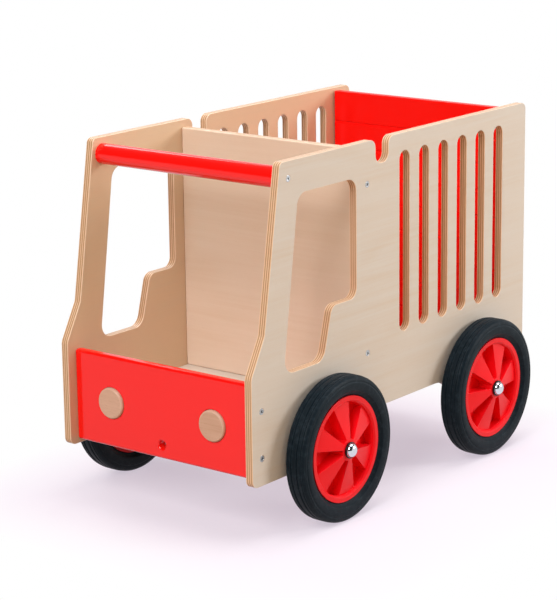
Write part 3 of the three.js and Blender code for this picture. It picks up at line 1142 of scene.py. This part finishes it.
@dataclass(frozen=True)
class SidePanels:
    """The two plywood sides, with cab window, slots, notch, arch and screw holes."""

    datum: Datum
    length: float = 568.0
    height: float = 365.0
    nose_height: float = 128.0
    pillar_foot: float = 25.0
    pillar_foot_height: float = 173.0
    pillar_top: float = 56.0
    bend_radius: float = 14.0
    corner_radius: float = 9.0
    pillar_radius: float = 6.5
    foot_radius: float = 4.5
    arch_front: float = 175.0
    arch_rear: float = 416.5
    arch_lean: float = 15.0
    arch_height: float = 38.5
    arch_radius: float = 54.0
    notch_front: float = 238.0
    notch_width: float = 26.5
    notch_depth: float = 29.5
    notch_shoulder: float = 10.0
    notch_bottom: float = 11.0
    window_front_low: float = 59.0
    window_front_high: float = 88.5
    window_rear: float = 199.5
    window_bottom: float = 120.0
    window_top: float = 325.5
    window_radius: float = 16.0
    arm_rest_foot: float = 134.0
    arm_rest_front: float = 151.0
    arm_rest_height: float = 182.5
    arm_rest_radius: float = 12.0
    slot_count: int = 6
    first_slot: float = 297.5
    slot_pitch: float = 41.2
    slot_width: float = 21.5
    slot_bottom: float = 121.5
    slot_top: float = 343.5
    slot_end_gap: float = 0.05
    edge_radius: float = 2.8
    screw_hole_depth: float = 12.0
    screw_hole: float = 2.3
    countersink: float = 4.3
    countersink_depth: float = 3.0
    axle_hole: float = 6.3
    axle_hole_depth: float = 15.0
    hole_steps: int = 32

    def outline(self) -> list[Corner]:
        """The panel's outline, from the front lower corner along the lower edge and round.

        Returns:
            The corners in order.
        """
        notch_floor = self.height - self.notch_depth
        notch_rear = self.notch_front + self.notch_width
        return [
            Corner(0, 0, self.corner_radius),
            Corner(self.arch_front, 0, self.foot_radius),
            Corner(self.arch_front + self.arch_lean, self.arch_height, self.arch_radius),
            Corner(self.arch_rear - self.arch_lean, self.arch_height, self.arch_radius),
            Corner(self.arch_rear, 0, self.foot_radius),
            Corner(self.length, 0, self.corner_radius),
            Corner(self.length, self.height, self.corner_radius),
            Corner(notch_rear, self.height, self.notch_shoulder),
            Corner(notch_rear, notch_floor, self.notch_bottom),
            Corner(self.notch_front, notch_floor, self.notch_bottom),
            Corner(self.notch_front, self.height, self.notch_shoulder),
            Corner(self.pillar_top, self.height, self.pillar_radius),
            Corner(self.pillar_foot, self.pillar_foot_height, self.bend_radius),
            Corner(0, self.nose_height, self.bend_radius),
        ]

    def window(self) -> list[Corner]:
        """The cab window, with the arm rest stepping up behind the sill.

        Returns:
            The corners in order.
        """
        return [
            Corner(self.window_front_low, self.window_bottom, self.window_radius),
            Corner(self.arm_rest_foot, self.window_bottom, self.window_radius),
            Corner(self.arm_rest_front, self.arm_rest_height, self.arm_rest_radius),
            Corner(self.window_rear, self.arm_rest_height, self.arm_rest_radius),
            Corner(self.window_rear, self.window_top, self.window_radius),
            Corner(self.window_front_high, self.window_top, self.window_radius),
        ]

    def slot(self, index: int) -> list[Corner]:
        """One slot with round ends, a hair short of half rounds so that its sides stay apart.

        Args:
            index: The slot's number from the front.

        Returns:
            The corners in order.
        """
        middle = self.first_slot + index * self.slot_pitch
        half = self.slot_width / 2
        radius = half - self.slot_end_gap
        return [
            Corner(middle - half, self.slot_bottom, radius),
            Corner(middle + half, self.slot_bottom, radius),
            Corner(middle + half, self.slot_top, radius),
            Corner(middle - half, self.slot_top, radius),
        ]

    def layer(self, name: str, corners: Sequence[Corner], hand: Hand, margin: float = 0.0) -> Piece:
        """A board that fills an outline through a panel's thickness.

        Args:
            name: The board's name.
            corners: The outline.
            hand: The panel's side.
            margin: How far the board stands out of both faces.

        Returns:
            The board.
        """
        inner = hand.value * (self.datum.inside - margin * MM)
        depth = Vector((hand.value * (self.datum.thickness + 2 * margin * MM), 0, 0))
        return board(name, corners, lambda along, up: self.datum.spot(inner, along, up), depth)

    def screw_tool(self) -> Piece:
        """A tool for a countersunk hole, facing +X at the origin.

        Returns:
            The tool.
        """
        profile = [
            (-self.screw_hole_depth, 0),
            (-self.screw_hole_depth, self.screw_hole),
            (-self.countersink_depth, self.screw_hole),
            (0, self.countersink),
            (CUT_MARGIN, self.countersink),
            (CUT_MARGIN, 0),
        ]
        return turned("screw_tool", profile, self.hole_steps)

    def axle_tool(self, end: End, hand: Hand) -> Piece:
        """A tool for an axle's hole in a panel.

        Args:
            end: The axle's end of the transporter.
            hand: The panel's side.

        Returns:
            The tool, in its place.
        """
        axle = NodeBox.of(end.axle).middle
        face = Matrix.Translation((hand.value * self.datum.outside, axle.y, axle.z))
        bore = rod("axle_tool", -self.axle_hole_depth, CUT_MARGIN, self.axle_hole, self.hole_steps)
        return place(bore, face @ hand.outward)

    def build(self, hand: Hand) -> Piece:
        """Makes one panel.

        Args:
            hand: The panel's side.

        Returns:
            The panel.
        """
        panel = self.layer(f"{hand.word}_panel", self.outline(), hand)
        openings = {"window_tool": self.window()}
        openings |= {f"slot_tool_{index}": self.slot(index) for index in range(self.slot_count)}
        carve(panel, [self.layer(name, corners, hand, CUT_MARGIN) for name, corners in openings.items()])
        ease(panel, self.edge_radius)
        holes = [place(self.screw_tool(), spot.stand(self.datum, hand)) for spot in SCREW_PLACES]
        carve(panel, holes + [self.axle_tool(end, hand) for end in End])
        return settle(panel)

    def dress(self) -> None:
        """Makes, dresses and places both panels."""
        finish = Plywood(
            name="plywood_sides",
            through=Axis.X,
            along=Axis.Y,
            start=self.datum.inside,
            thickness=self.datum.thickness,
        )
        for hand in Hand:
            present(self.build(hand), f"side_panel_{hand.word}", CHASSIS, finish)


@dataclass(frozen=True)
class Screws:
    """Countersunk cross-head wood screws, and the smooth pins that the ramp swings on."""

    datum: Datum
    head: float = 4.0
    head_height: float = 2.6
    crown: float = 0.25
    shank: float = 2.0
    length: float = 30.0
    tip: float = 2.0
    pin: float = 2.5
    pin_length: float = 35.5
    pin_tip: float = 0.6
    recess_depth: float = 1.7
    recess_length: float = 4.6
    recess_width: float = 1.15
    edge_radius: float = 0.18
    edge_steps: int = 2
    steps: int = 32
    turn_by_height: float = 17.0
    turn_by_side: float = 40.0

    def cross_tool(self) -> Piece:
        """A tool for the cross recess: three corners of one arm, turned four times.

        Returns:
            The tool, facing +X at the origin.
        """
        arm = self.recess_length / 2
        half = self.recess_width / 2
        corners = []
        spots = [(arm, -half), (arm, half), (half, half)]
        for _ in range(4):
            corners += [Corner(along, up) for along, up in spots]
            spots = [(-up, along) for along, up in spots]
        bottom = -self.recess_depth
        depth = Vector((self.recess_depth + CUT_MARGIN, 0, 0)) * MM
        return board("cross_tool", corners, lambda along, up: Vector((bottom, along, up)) * MM, depth)

    def pattern(self, name: str, shank: float, length: float, tip: float) -> Piece:
        """One fastener facing +X at the origin, with a cross recess in its head.

        Args:
            name: The pattern's name.
            shank: The shank's radius.
            length: The whole length.
            tip: The length of its point.

        Returns:
            The fastener.
        """
        profile = [
            (-length, 0),
            (tip - length, shank),
            (-self.head_height, shank),
            (-self.crown, self.head),
            (0, self.head - self.crown),
            (0, 0),
        ]
        piece = turned(name, profile, self.steps)
        carve(piece, [self.cross_tool()])
        ease(piece, self.edge_radius, self.edge_steps)
        return settle(piece)

    def dress_screws(self) -> None:
        """Places every screw, each driven to a turn of its own."""
        screw = self.pattern("screw_pattern", self.shank, self.length, self.tip)
        for spot in SCREW_PLACES:
            for index, hand in enumerate(Hand):
                node = f"{spot.name}_{hand.word}"
                angle = math.radians(self.turn_by_height * spot.height + self.turn_by_side * index)
                stand = spot.stand(self.datum, hand) @ Matrix.Rotation(angle, 4, "X")
                present(copy_of(screw, f"fitted_{node}", stand), node, CHASSIS, STEEL)
        discard(screw)

    def dress_pins(self) -> None:
        """Places the two pins that the ramp swings on."""
        pin = self.pattern("pin_pattern", self.pin, self.pin_length, self.pin_tip)
        for hand in Hand:
            node = f"ramp_pivot_pin_{hand.word}"
            face = Matrix.Translation((hand.value * self.datum.outside, 0, 0))
            stand = NodeBox.of(node).lift @ face @ hand.outward
            present(copy_of(pin, f"fitted_{node}", stand), node, CHASSIS, STEEL)
        discard(pin)


@dataclass(frozen=True)
class Front:
    """The bumper board with its headlight discs and cord hole."""

    edge_radius: float = 3.6
    edge_steps: int = 6
    cut_edge_radius: float = 0.7
    cut_edge_steps: int = 3
    recess: float = 2.9
    seat_clearance: float = 0.3
    seat_steps: int = 64
    cord_hole: float = 5.0
    cord_hole_flare: float = 1.5
    cord_hole_height: float = 17.0
    cord_hole_steps: int = 48
    disc_bevel: float = 1.6
    disc_steps: int = 72
    disc_sharp: float = 20.0

    def bumper(self) -> Piece:
        """Makes the bumper board.

        Returns:
            The board, with its seats and its hole.
        """
        box = NodeBox.of("bumper_board")
        piece = block("red_bumper", box)
        ease(piece, self.edge_radius, self.edge_steps)
        tools = []
        for hand in Hand:
            disc = NodeBox.of(f"headlight_{hand.word}")
            radius = disc.size.x / 2 / MM + self.seat_clearance
            seat = rod("seat_tool", -CUT_MARGIN, self.recess, radius, self.seat_steps)
            tools.append(self.turn_back(seat, Vector((disc.middle.x, box.low.y, disc.middle.z))))
        hole = self.cord_tool(box.size.y / MM)
        tools.append(self.turn_back(hole, Vector((0, box.low.y, box.low.z + self.cord_hole_height * MM))))
        carve(piece, tools)
        ease(piece, self.cut_edge_radius, self.cut_edge_steps)
        return settle(piece)

    def cord_tool(self, depth: float) -> Piece:
        """A tool for the cord hole, flared at its front.

        Args:
            depth: The thickness of the board.

        Returns:
            The tool, at the origin.
        """
        end = depth + CUT_MARGIN
        profile = [
            (-CUT_MARGIN, 0),
            (-CUT_MARGIN, self.cord_hole + self.cord_hole_flare + CUT_MARGIN),
            (self.cord_hole_flare, self.cord_hole),
            (end, self.cord_hole),
            (end, 0),
        ]
        return turned("cord_tool", profile, self.cord_hole_steps)

    @staticmethod
    def turn_back(piece: Piece, spot: Vector) -> Piece:
        """Turns a piece's X to run back along Y, and puts its origin at a spot."""
        return place(piece, Matrix.Translation(spot) @ Matrix.Rotation(math.pi / 2, 4, "Z"))

    def disc(self, hand: Hand) -> Piece:
        """Makes one headlight disc.

        Args:
            hand: The disc's side.

        Returns:
            The disc.
        """
        box = NodeBox.of(f"headlight_{hand.word}")
        radius = box.size.x / 2 / MM
        depth = box.size.y / MM
        bevel = self.disc_bevel
        profile = [(0, 0), (0, radius - bevel), (bevel, radius), (depth, radius), (depth, 0)]
        piece = turned(f"{hand.word}_headlight_disc", profile, self.disc_steps)
        ease(piece, self.cut_edge_radius, self.cut_edge_steps, self.disc_sharp)
        self.turn_back(piece, Vector((box.middle.x, box.low.y, box.middle.z)))
        return settle(piece)

    def dress(self) -> None:
        """Places the bumper and the discs."""
        present(self.bumper(), "bumper_board", CHASSIS, LACQUER)
        for hand in Hand:
            present(self.disc(hand), f"headlight_{hand.word}", CHASSIS, BEECH)


@dataclass(frozen=True)
class Boards:
    """The crossbar, the partition, the floor and the strips that stop the ramp."""

    bar_steps: int = 64
    bar_edge_radius: float = 0.5
    bar_edge_steps: int = 2
    wall_radius: float = 2.2
    floor_radius: float = 0.8
    stop_radius: float = 1.2
    # The wall's veneer and streaks are warmer than the sides': painted warm light of the cab's interior.
    warm_lit_wall_veneer: Colour = (0.71, 0.575, 0.445, 1)
    warm_lit_wall_streak: Colour = (0.62, 0.45, 0.3, 1)

    def crossbar(self) -> Piece:
        """Makes the round crossbar.

        Returns:
            The bar.
        """
        box = NodeBox.of("cab_crossbar")
        bar = rod("red_crossbar", *box.ends, box.radius, self.bar_steps)
        ease(bar, self.bar_edge_radius, self.bar_edge_steps)
        return settle(place(bar, box.lift))

    @staticmethod
    def plain_board(node: str, name: str, radius: float) -> Piece:
        """Makes a board of a node's size with eased edges.

        Args:
            node: The CAD node.
            name: The board's name.
            radius: The radius of its edges.

        Returns:
            The board.
        """
        piece = block(name, NodeBox.of(node))
        ease(piece, radius)
        return settle(piece)

    def dress(self) -> None:
        """Places the crossbar and the boards."""
        present(self.crossbar(), "cab_crossbar", CHASSIS, LACQUER)
        self.dress_partition()
        self.dress_floor()
        self.dress_stops()

    def dress_partition(self) -> None:
        """Places the wall between the cab and the load bed, its better face to the front."""
        box = NodeBox.of("cab_partition")
        # The wall's warmer veneer and streaks are painted warm light.
        finish = Plywood(
            name="plywood_wall",
            through=Axis.Y,
            along=Axis.X,
            start=-box.high.y,
            thickness=box.size.y,
            veneer=self.warm_lit_wall_veneer,
            streak=self.warm_lit_wall_streak,
        )
        wall = self.plain_board("cab_partition", "partition_wall", self.wall_radius)
        present(wall, "cab_partition", CHASSIS, finish)

    def dress_floor(self) -> None:
        """Places the floor of the cab and the load bed."""
        box = NodeBox.of("floor_board")
        finish = Plywood(
            name="plywood_floor", through=Axis.Z, along=Axis.Y, start=box.low.z, thickness=box.size.z
        )
        floor = self.plain_board("floor_board", "cab_and_bed_floor", self.floor_radius)
        present(floor, "floor_board", CHASSIS, finish)

    def dress_stops(self) -> None:
        """Places the strips that the closed ramp rests against."""
        box = NodeBox.of("ramp_stop_left")
        finish = Plywood(
            name="plywood_strips", through=Axis.X, along=Axis.Z, start=box.low.x, thickness=box.size.x
        )
        for hand in Hand:
            node = f"ramp_stop_{hand.word}"
            strip = self.plain_board(node, f"{hand.word}_stop_strip", self.stop_radius)
            present(strip, node, CHASSIS, finish)


@dataclass(frozen=True)
class Ramp:
    """The red loading ramp, round below and grooved across its inner face."""

    foot_round: float = 5.9
    edge_radius: float = 1.8
    groove_count: int = 8
    groove_pitch: float = 34.3
    first_groove: float = 41.0
    groove_radius: float = 2.0
    groove_depth: float = 1.5
    groove_steps: int = 24
    groove_edge_radius: float = 0.5
    groove_edge_steps: int = 2

    def build(self) -> Piece:
        """Makes the ramp, closed.

        Returns:
            The ramp.
        """
        box = NodeBox.of("loading_ramp")
        foot = box.low.z + TOUCH
        piece = block("red_ramp", box)
        with editing(piece, SelectMode.EDGE):
            pick(piece, SelectMode.EDGE, lambda middle: middle.z < foot and abs(middle.x) < TOUCH)
            bpy.ops.mesh.bevel(offset=self.foot_round * MM, segments=ROUND_STEPS, affect="EDGES")
        ease(piece, self.edge_radius)
        carve(piece, [self.groove_tool(box, index) for index in range(self.groove_count)])
        ease(piece, self.groove_edge_radius, self.groove_edge_steps)
        return settle(piece)

    def groove_tool(self, box: NodeBox, index: int) -> Piece:
        """A tool for one groove.

        Args:
            box: The ramp's box.
            index: The groove's number from the top.

        Returns:
            The tool, in its place.
        """
        half = box.size.x / 2 / MM + CUT_MARGIN
        face = box.low.y - (self.groove_radius - self.groove_depth) * MM
        height = box.high.z - (self.first_groove + index * self.groove_pitch) * MM
        tool = rod("groove_tool", -half, half, self.groove_radius, self.groove_steps)
        return place(tool, Matrix.Translation((0, face, height)))

    def dress(self) -> None:
        """Places the ramp on its own body."""
        present(self.build(), "loading_ramp", "ramp", RAMP_LACQUER)


@dataclass(frozen=True)
class Wheels:
    """Rims, tyres, axles, washers and hub caps.

    A tyre's half section runs from its bead over the side wall to the middle of its tread, as points
    of distance from the wheel's middle and reach.
    """

    steps: int = 128
    turns: Span = (35.0, 11.0)
    bead: Section = ((7.7, 59.4), (7.7, 63.8), (9.6, 64.4), (11.2, 67.2))
    side_wall: Section = ((13.9, 69.6), (14.7, 73.0), (15.0, 77.0), (14.6, 79.4))
    wall_groove: Section = ((13.9, 79.9), (13.8, 81.0), (14.2, 81.6))
    shoulder: Section = ((13.3, 84.4), (11.6, 86.3), (9.9, 87.1))
    outer_rib: Section = ((9.0, 86.0), (8.1, 87.3), (5.4, 87.5))
    middle_rib: Section = ((4.6, 85.9), (3.4, 85.9), (2.6, 87.5))
    tyre_edge_radius: float = 0.45
    tyre_edge_sharp: float = 24.0
    tyre_sharp: float = 60.0
    rim: float = 63.5
    rim_width: float = 21.0
    rim_flange: float = 2.5
    rim_seat: float = 59.1
    rim_inside: float = 56.1
    rim_lip: float = 4.0
    lip_chamfer: float = 1.8
    rim_edge_radius: float = 0.8
    rim_edge_steps: int = 3
    rim_edge_sharp: float = 35.0
    rim_sharp: float = 40.0
    hub: float = 12.5
    hub_reach: float = 15.0
    hub_inner: float = -16.1
    bore: float = 6.3
    web_front: float = -4.0
    web_back: float = -7.0
    blade_count: int = 6
    blade_share: float = 0.51
    pocket_gap: float = 0.4
    pocket_steps: int = 10
    cap_skirt: float = 9.75
    cap_skirt_height: float = 2.5
    cap_skirt_margin: float = 0.2
    cap_height: float = 8.5
    cap_socket: float = 5.3
    cap_edge_radius: float = 0.35
    cap_sharp: float = 50.0
    dome: float = 8.5
    dome_steps: int = 12
    axle_steps: int = 40
    axle_chamfer: float = 0.8
    washer_edge_radius: float = 0.3
    small_steps: int = 48
    small_edge_steps: int = 2

    def tyre_pattern(self) -> Piece:
        """The pattern of a tyre: a bulging side wall, round shoulders and a ribbed tread.

        Returns:
            The tyre, at the origin.
        """
        wall = [*self.bead, *self.side_wall, *self.wall_groove]
        half = [*wall, *self.shoulder, *self.outer_rib, *self.middle_rib]
        section = [*half, *[(-along, reach) for along, reach in reversed(half)], half[0]]
        piece = turned("tyre_pattern", section, self.steps)
        ease(piece, self.tyre_edge_radius, self.small_edge_steps, self.tyre_edge_sharp)
        self.mark_reach(piece)
        return settle(piece, self.tyre_sharp)

    @staticmethod
    def mark_reach(piece: Piece) -> None:
        """Notes each point's distance from the axle, in millimetres, for the finish.

        Args:
            piece: The tyre, at the origin.
        """
        reach = piece.data.attributes.new("reach", "FLOAT", "POINT")
        values = [math.hypot(vert.co.y, vert.co.z) / MM for vert in piece.data.vertices]
        reach.data.foreach_set("value", values)

    def rim_pattern(self) -> Piece:
        """The pattern of a rim: a turned disc with its blades left between cut pockets.

        Returns:
            The rim, at the origin.
        """
        edge = self.rim_width / 2
        section = [
            (self.hub_inner, self.bore),
            (self.hub_reach, self.bore),
            (self.hub_reach, self.hub),
            (edge - self.rim_lip, self.rim_inside),
            (edge - self.lip_chamfer, self.rim_inside),
            (edge, self.rim_inside + self.lip_chamfer),
            (edge, self.rim),
            (edge - self.rim_flange, self.rim),
            (edge - self.rim_flange, self.rim_seat),
            (self.rim_flange - edge, self.rim_seat),
            (self.rim_flange - edge, self.rim),
            (-edge, self.rim),
            (-edge, self.rim_inside),
            (self.web_back, self.rim_inside),
            (self.web_back, self.hub),
            (self.hub_inner, self.hub),
        ]
        piece = turned("rim_pattern", [*section, section[0]], self.steps)
        carve(piece, [self.pocket_tool(index) for index in range(self.blade_count)])
        ease(piece, self.rim_edge_radius, self.rim_edge_steps, self.rim_edge_sharp)
        return settle(piece, self.rim_sharp)

    def pocket_tool(self, index: int) -> Piece:
        """A tool for the pocket between two blades.

        Args:
            index: The pocket's number.

        Returns:
            The tool, at the origin.
        """
        pitch = FULL_TURN / self.blade_count
        half = pitch * (1 - self.blade_share) / 2
        middle = (index + 0.5) * pitch
        steps = self.pocket_steps
        arc = [middle - half + 2 * half * step / steps for step in range(steps + 1)]
        outer = self.rim_inside - self.pocket_gap
        inner = self.hub + self.pocket_gap
        corners = [Corner(outer * math.cos(angle), outer * math.sin(angle)) for angle in arc]
        corners += [Corner(inner * math.cos(angle), inner * math.sin(angle)) for angle in reversed(arc)]
        floor = self.web_front
        depth = Vector((self.hub_reach + CUT_MARGIN - floor, 0, 0)) * MM
        return board("pocket_tool", corners, lambda along, up: Vector((floor, along, up)) * MM, depth)

    def cap_pattern(self) -> Piece:
        """The pattern of a hub cap: a spring skirt under a dome.

        Returns:
            The cap, at the origin.
        """
        section = [
            (self.cap_socket, 0),
            (self.cap_socket, self.bore),
            (0, self.bore),
            (0, self.cap_skirt),
            (self.cap_skirt_height, self.cap_skirt),
            (self.cap_skirt_height, self.dome),
        ]
        rise = self.cap_height - self.cap_skirt_height
        for step in range(1, self.dome_steps + 1):
            angle = math.pi / 2 * step / self.dome_steps
            section.append((self.cap_skirt_height + rise * math.sin(angle), self.dome * math.cos(angle)))
        piece = turned("cap_pattern", section, self.small_steps)
        ease(piece, self.cap_edge_radius, self.small_edge_steps)
        return settle(piece, self.cap_sharp)

    def dress(self) -> None:
        """Places the four wheels and their axles."""
        tyre, rim, cap = self.tyre_pattern(), self.rim_pattern(), self.cap_pattern()
        for end, turn in zip(End, self.turns):
            self.dress_axle(end)
            axle = NodeBox.of(end.axle)
            for hand in Hand:
                spot = f"{end.value}_{hand.word}"
                body = f"wheel_{spot}"
                middle = Matrix.Translation((NodeBox.of(f"tyre_{spot}").middle.x, 0, 0))
                stand = axle.lift @ middle @ hand.outward
                spoked = stand @ Matrix.Rotation(math.radians(turn), 4, "X")
                present(copy_of(rim, f"{spot}_rim", spoked), f"wheel_rim_{spot}", body, PLASTIC)
                present(copy_of(tyre, f"{spot}_tyre", stand), f"tyre_{spot}", body, RUBBER)
                self.dress_cap(cap, spot, hand)
                self.dress_washer(spot)
        discard(tyre, rim, cap)

    def dress_axle(self, end: End) -> None:
        """Makes and places one axle with chamfered ends.

        Args:
            end: The axle's end of the transporter.
        """
        box = NodeBox.of(end.axle)
        piece = rod(f"{end.axle}_rod", *box.ends, box.radius, self.axle_steps)
        ease(piece, self.axle_chamfer, 1)
        present(settle(place(piece, box.lift)), end.axle, CHASSIS, STEEL)

    def dress_cap(self, cap: Piece, spot: str, hand: Hand) -> None:
        """Places one hub cap, with its skirt near black: partly blackened spring steel, partly painted
        shade round the cap.

        Args:
            cap: The pattern.
            spot: The wheel's end and side.
            hand: The wheel's side.
        """
        node = f"hub_cap_{spot}"
        box = NodeBox.of(node)
        foot = box.low.x if hand is Hand.LEFT else box.high.x
        stand = box.lift @ Matrix.Translation((foot, 0, 0)) @ hand.outward
        piece = copy_of(cap, f"{spot}_hub_cap", stand)
        present(piece, node, CHASSIS, CHROME)
        # Painted shade: the skirt takes the near-black colour, partly blackened steel and partly painted
        # shade.
        piece.data.materials.append(SHADED_SPRING_STEEL.material())
        skirt_top = (self.cap_skirt_height + self.cap_skirt_margin) * MM
        for face in piece.data.polygons:
            face.material_index = int(abs(face.center.x - foot) < skirt_top)

    def dress_washer(self, spot: str) -> None:
        """Makes and places one washer.

        Args:
            spot: The wheel's end and side.
        """
        node = f"washer_{spot}"
        box = NodeBox.of(node)
        start, end = box.ends
        ring = [(start, self.bore), (start, box.radius), (end, box.radius), (end, self.bore)]
        piece = turned(f"{spot}_washer", [*ring, ring[0]], self.small_steps)
        ease(piece, self.washer_edge_radius, self.small_edge_steps)
        present(settle(place(piece, box.lift)), node, CHASSIS, STEEL)


# Studio


@dataclass(frozen=True)
class Lamp:
    """A square soft lamp: its place and the length of its side in metres, and its power in watts."""

    name: str
    place: Spot
    side: float
    power: float


@dataclass(frozen=True)
class Studio:
    """A pale floor, soft lamps and the camera at the photograph's angle, in metres."""

    camera_place: Spot = (1.65036, -2.15426, 0.89008)
    camera_target: Spot = (-0.00025, -0.04872, 0.22139)
    lens: float = 134.806
    roll: float = -0.71
    lamps: tuple[Lamp, ...] = (
        Lamp("top_lamp", (0.4, 0.5, 2.8), 2.0, 56),
        Lamp("side_lamp", (2.6, 1.9, 1.25), 1.0, 52),
        Lamp("fill_lamp", (-2.4, 0.7, 1.9), 1.4, 26),
        Lamp("front_lamp", (0.5, -2.6, 2.2), 1.6, 78),
    )
    daylight: Spot = (1.0, 1.0, 1.03)
    sky: Colour = (0.3, 0.245, 0.175, 1)
    ceiling: float = 0.05
    ceiling_blur: float = 0.1
    backdrop_top: float = 0.6
    backdrop_blur: float = 0.2
    floor_size: float = 14.0
    shadow_middle: Spot = (0.03, -0.02, 0.0)
    shadow_reach: Spot = (0.19, 0.26, 0.0)
    shadow_fade: float = 0.15
    shadow_lift: float = 0.58
    shade: Colour = (0.95, 0.85, 0.98, 1)
    bounce: Colour = (0.38, 0.255, 0.15, 1)
    paint: Colour = (0.82, 0.8, 0.81, 1)
    white: Colour = (1, 1, 1, 1)

    def build(self) -> None:
        """Makes the floor, the sky, the lamps and the camera."""
        self.lay_floor()
        self.light_sky()
        for lamp in self.lamps:
            self.hang(lamp)
        self.stand_camera()

    def lay_floor(self) -> None:
        """Lays the floor, which turns to plain white away from the transporter."""
        bpy.ops.object.select_all(action="DESELECT")
        bpy.ops.mesh.primitive_plane_add(size=self.floor_size)
        floor = name_new("studio_floor")
        material = bpy.data.materials.new("studio_white")
        material.use_nodes = True
        sheet = NodeSheet(material.node_tree)
        spots = sheet.node("ShaderNodeTexCoord").outputs["Object"]
        aside = sheet.vector("ABSOLUTE", sheet.vector("SUBTRACT", spots, self.shadow_middle))
        outside = sheet.vector("MAXIMUM", sheet.vector("SUBTRACT", aside, self.shadow_reach))
        far = sheet.remap(sheet.vector("LENGTH", outside), 0.0, self.shadow_fade)
        path = sheet.node("ShaderNodeLightPath").outputs
        seen = sheet.calc("MAXIMUM", path["Is Camera Ray"], path["Is Glossy Ray"])
        lift = sheet.calc("MULTIPLY", seen, sheet.remap(far, 0, 1, self.shadow_lift, 1.0))
        coat = sheet.mix(seen, self.bounce, self.paint)
        paint = sheet.node("ShaderNodeBsdfDiffuse", {"Color": coat}).outputs[0]
        tint = sheet.mix(far, self.shade, self.white)
        glow = sheet.node("ShaderNodeEmission", {"Color": tint, "Strength": 1.0}).outputs[0]
        blend = sheet.node("ShaderNodeMixShader", {0: lift, 1: paint, 2: glow}).outputs[0]
        sheet.node("ShaderNodeOutputMaterial", {"Surface": blend})
        floor.data.materials.append(material)

    def light_sky(self) -> None:
        """Lights the world evenly, and shows a white backdrop to the camera and in reflections."""
        world = bpy.data.worlds.new("studio_sky")
        world.use_nodes = True
        sheet = NodeSheet(world.node_tree)
        path = sheet.node("ShaderNodeLightPath").outputs
        ray = sheet.node("ShaderNodeTexCoord").outputs["Generated"]
        parts = sheet.node("ShaderNodeSeparateXYZ", {0: ray}).outputs
        backdrop = sheet.remap(parts["Y"], -self.backdrop_blur, self.backdrop_blur, 0.0, self.backdrop_top)
        above = sheet.calc("SUBTRACT", parts["Z"], backdrop)
        mirrored = sheet.remap(above, -self.ceiling_blur, self.ceiling_blur, 1.0, self.ceiling)
        seen = sheet.calc("MAXIMUM", path["Is Camera Ray"], path["Is Transmission Ray"])
        shown = sheet.calc("MAXIMUM", seen, path["Is Glossy Ray"])
        white = sheet.calc("MAXIMUM", seen, sheet.calc("MULTIPLY", mirrored, path["Is Glossy Ray"]))
        grey = sheet.node("ShaderNodeCombineXYZ", {0: white, 1: white, 2: white}).outputs[0]
        colour = sheet.mix(shown, self.sky, grey)
        back = sheet.node("ShaderNodeBackground", {"Color": colour, "Strength": 1.0}).outputs[0]
        sheet.node("ShaderNodeOutputWorld", {"Surface": back})
        bpy.context.scene.world = world

    def hang(self, lamp: Lamp) -> None:
        """Hangs a lamp that points at the transporter.

        Args:
            lamp: The lamp.
        """
        data = bpy.data.lights.new(lamp.name, "AREA")
        data.size = lamp.side
        data.energy = lamp.power
        data.color = self.daylight
        hung = bpy.data.objects.new(lamp.name, data)
        bpy.context.scene.collection.objects.link(hung)
        hung.location = lamp.place
        towards = Vector(self.camera_target) - Vector(lamp.place)
        hung.rotation_euler = towards.to_track_quat("-Z", "Y").to_euler()
        hung.visible_camera = False

    def stand_camera(self) -> None:
        """Stands the camera and sets the plain view transform."""
        data = bpy.data.cameras.new("camera")
        data.lens = self.lens
        camera = bpy.data.objects.new("camera", data)
        bpy.context.scene.collection.objects.link(camera)
        back = (Vector(self.camera_place) - Vector(self.camera_target)).normalized()
        right = Axis.Z.vector.cross(back).normalized()
        up = back.cross(right)
        level = Matrix((right, up, back)).transposed().to_4x4()
        roll = Matrix.Rotation(math.radians(self.roll), 4, "Z")
        camera.matrix_world = Matrix.Translation(self.camera_place) @ level @ roll
        scene = bpy.context.scene
        scene.camera = camera
        scene.view_settings.view_transform = "Standard"


def main() -> None:
    """Builds the studio and the transporter's pieces in order."""
    logging.basicConfig(level=logging.INFO, format="%(name)s: %(message)s")
    bpy.ops.object.select_all(action="DESELECT")
    datum = Datum.from_frame()
    Studio().build()
    SidePanels(datum).dress()
    Front().dress()
    Boards().dress()
    Ramp().dress()
    Wheels().dress()
    screws = Screws(datum)
    screws.dress_screws()
    screws.dress_pins()


if __name__ == "__main__":
    main()
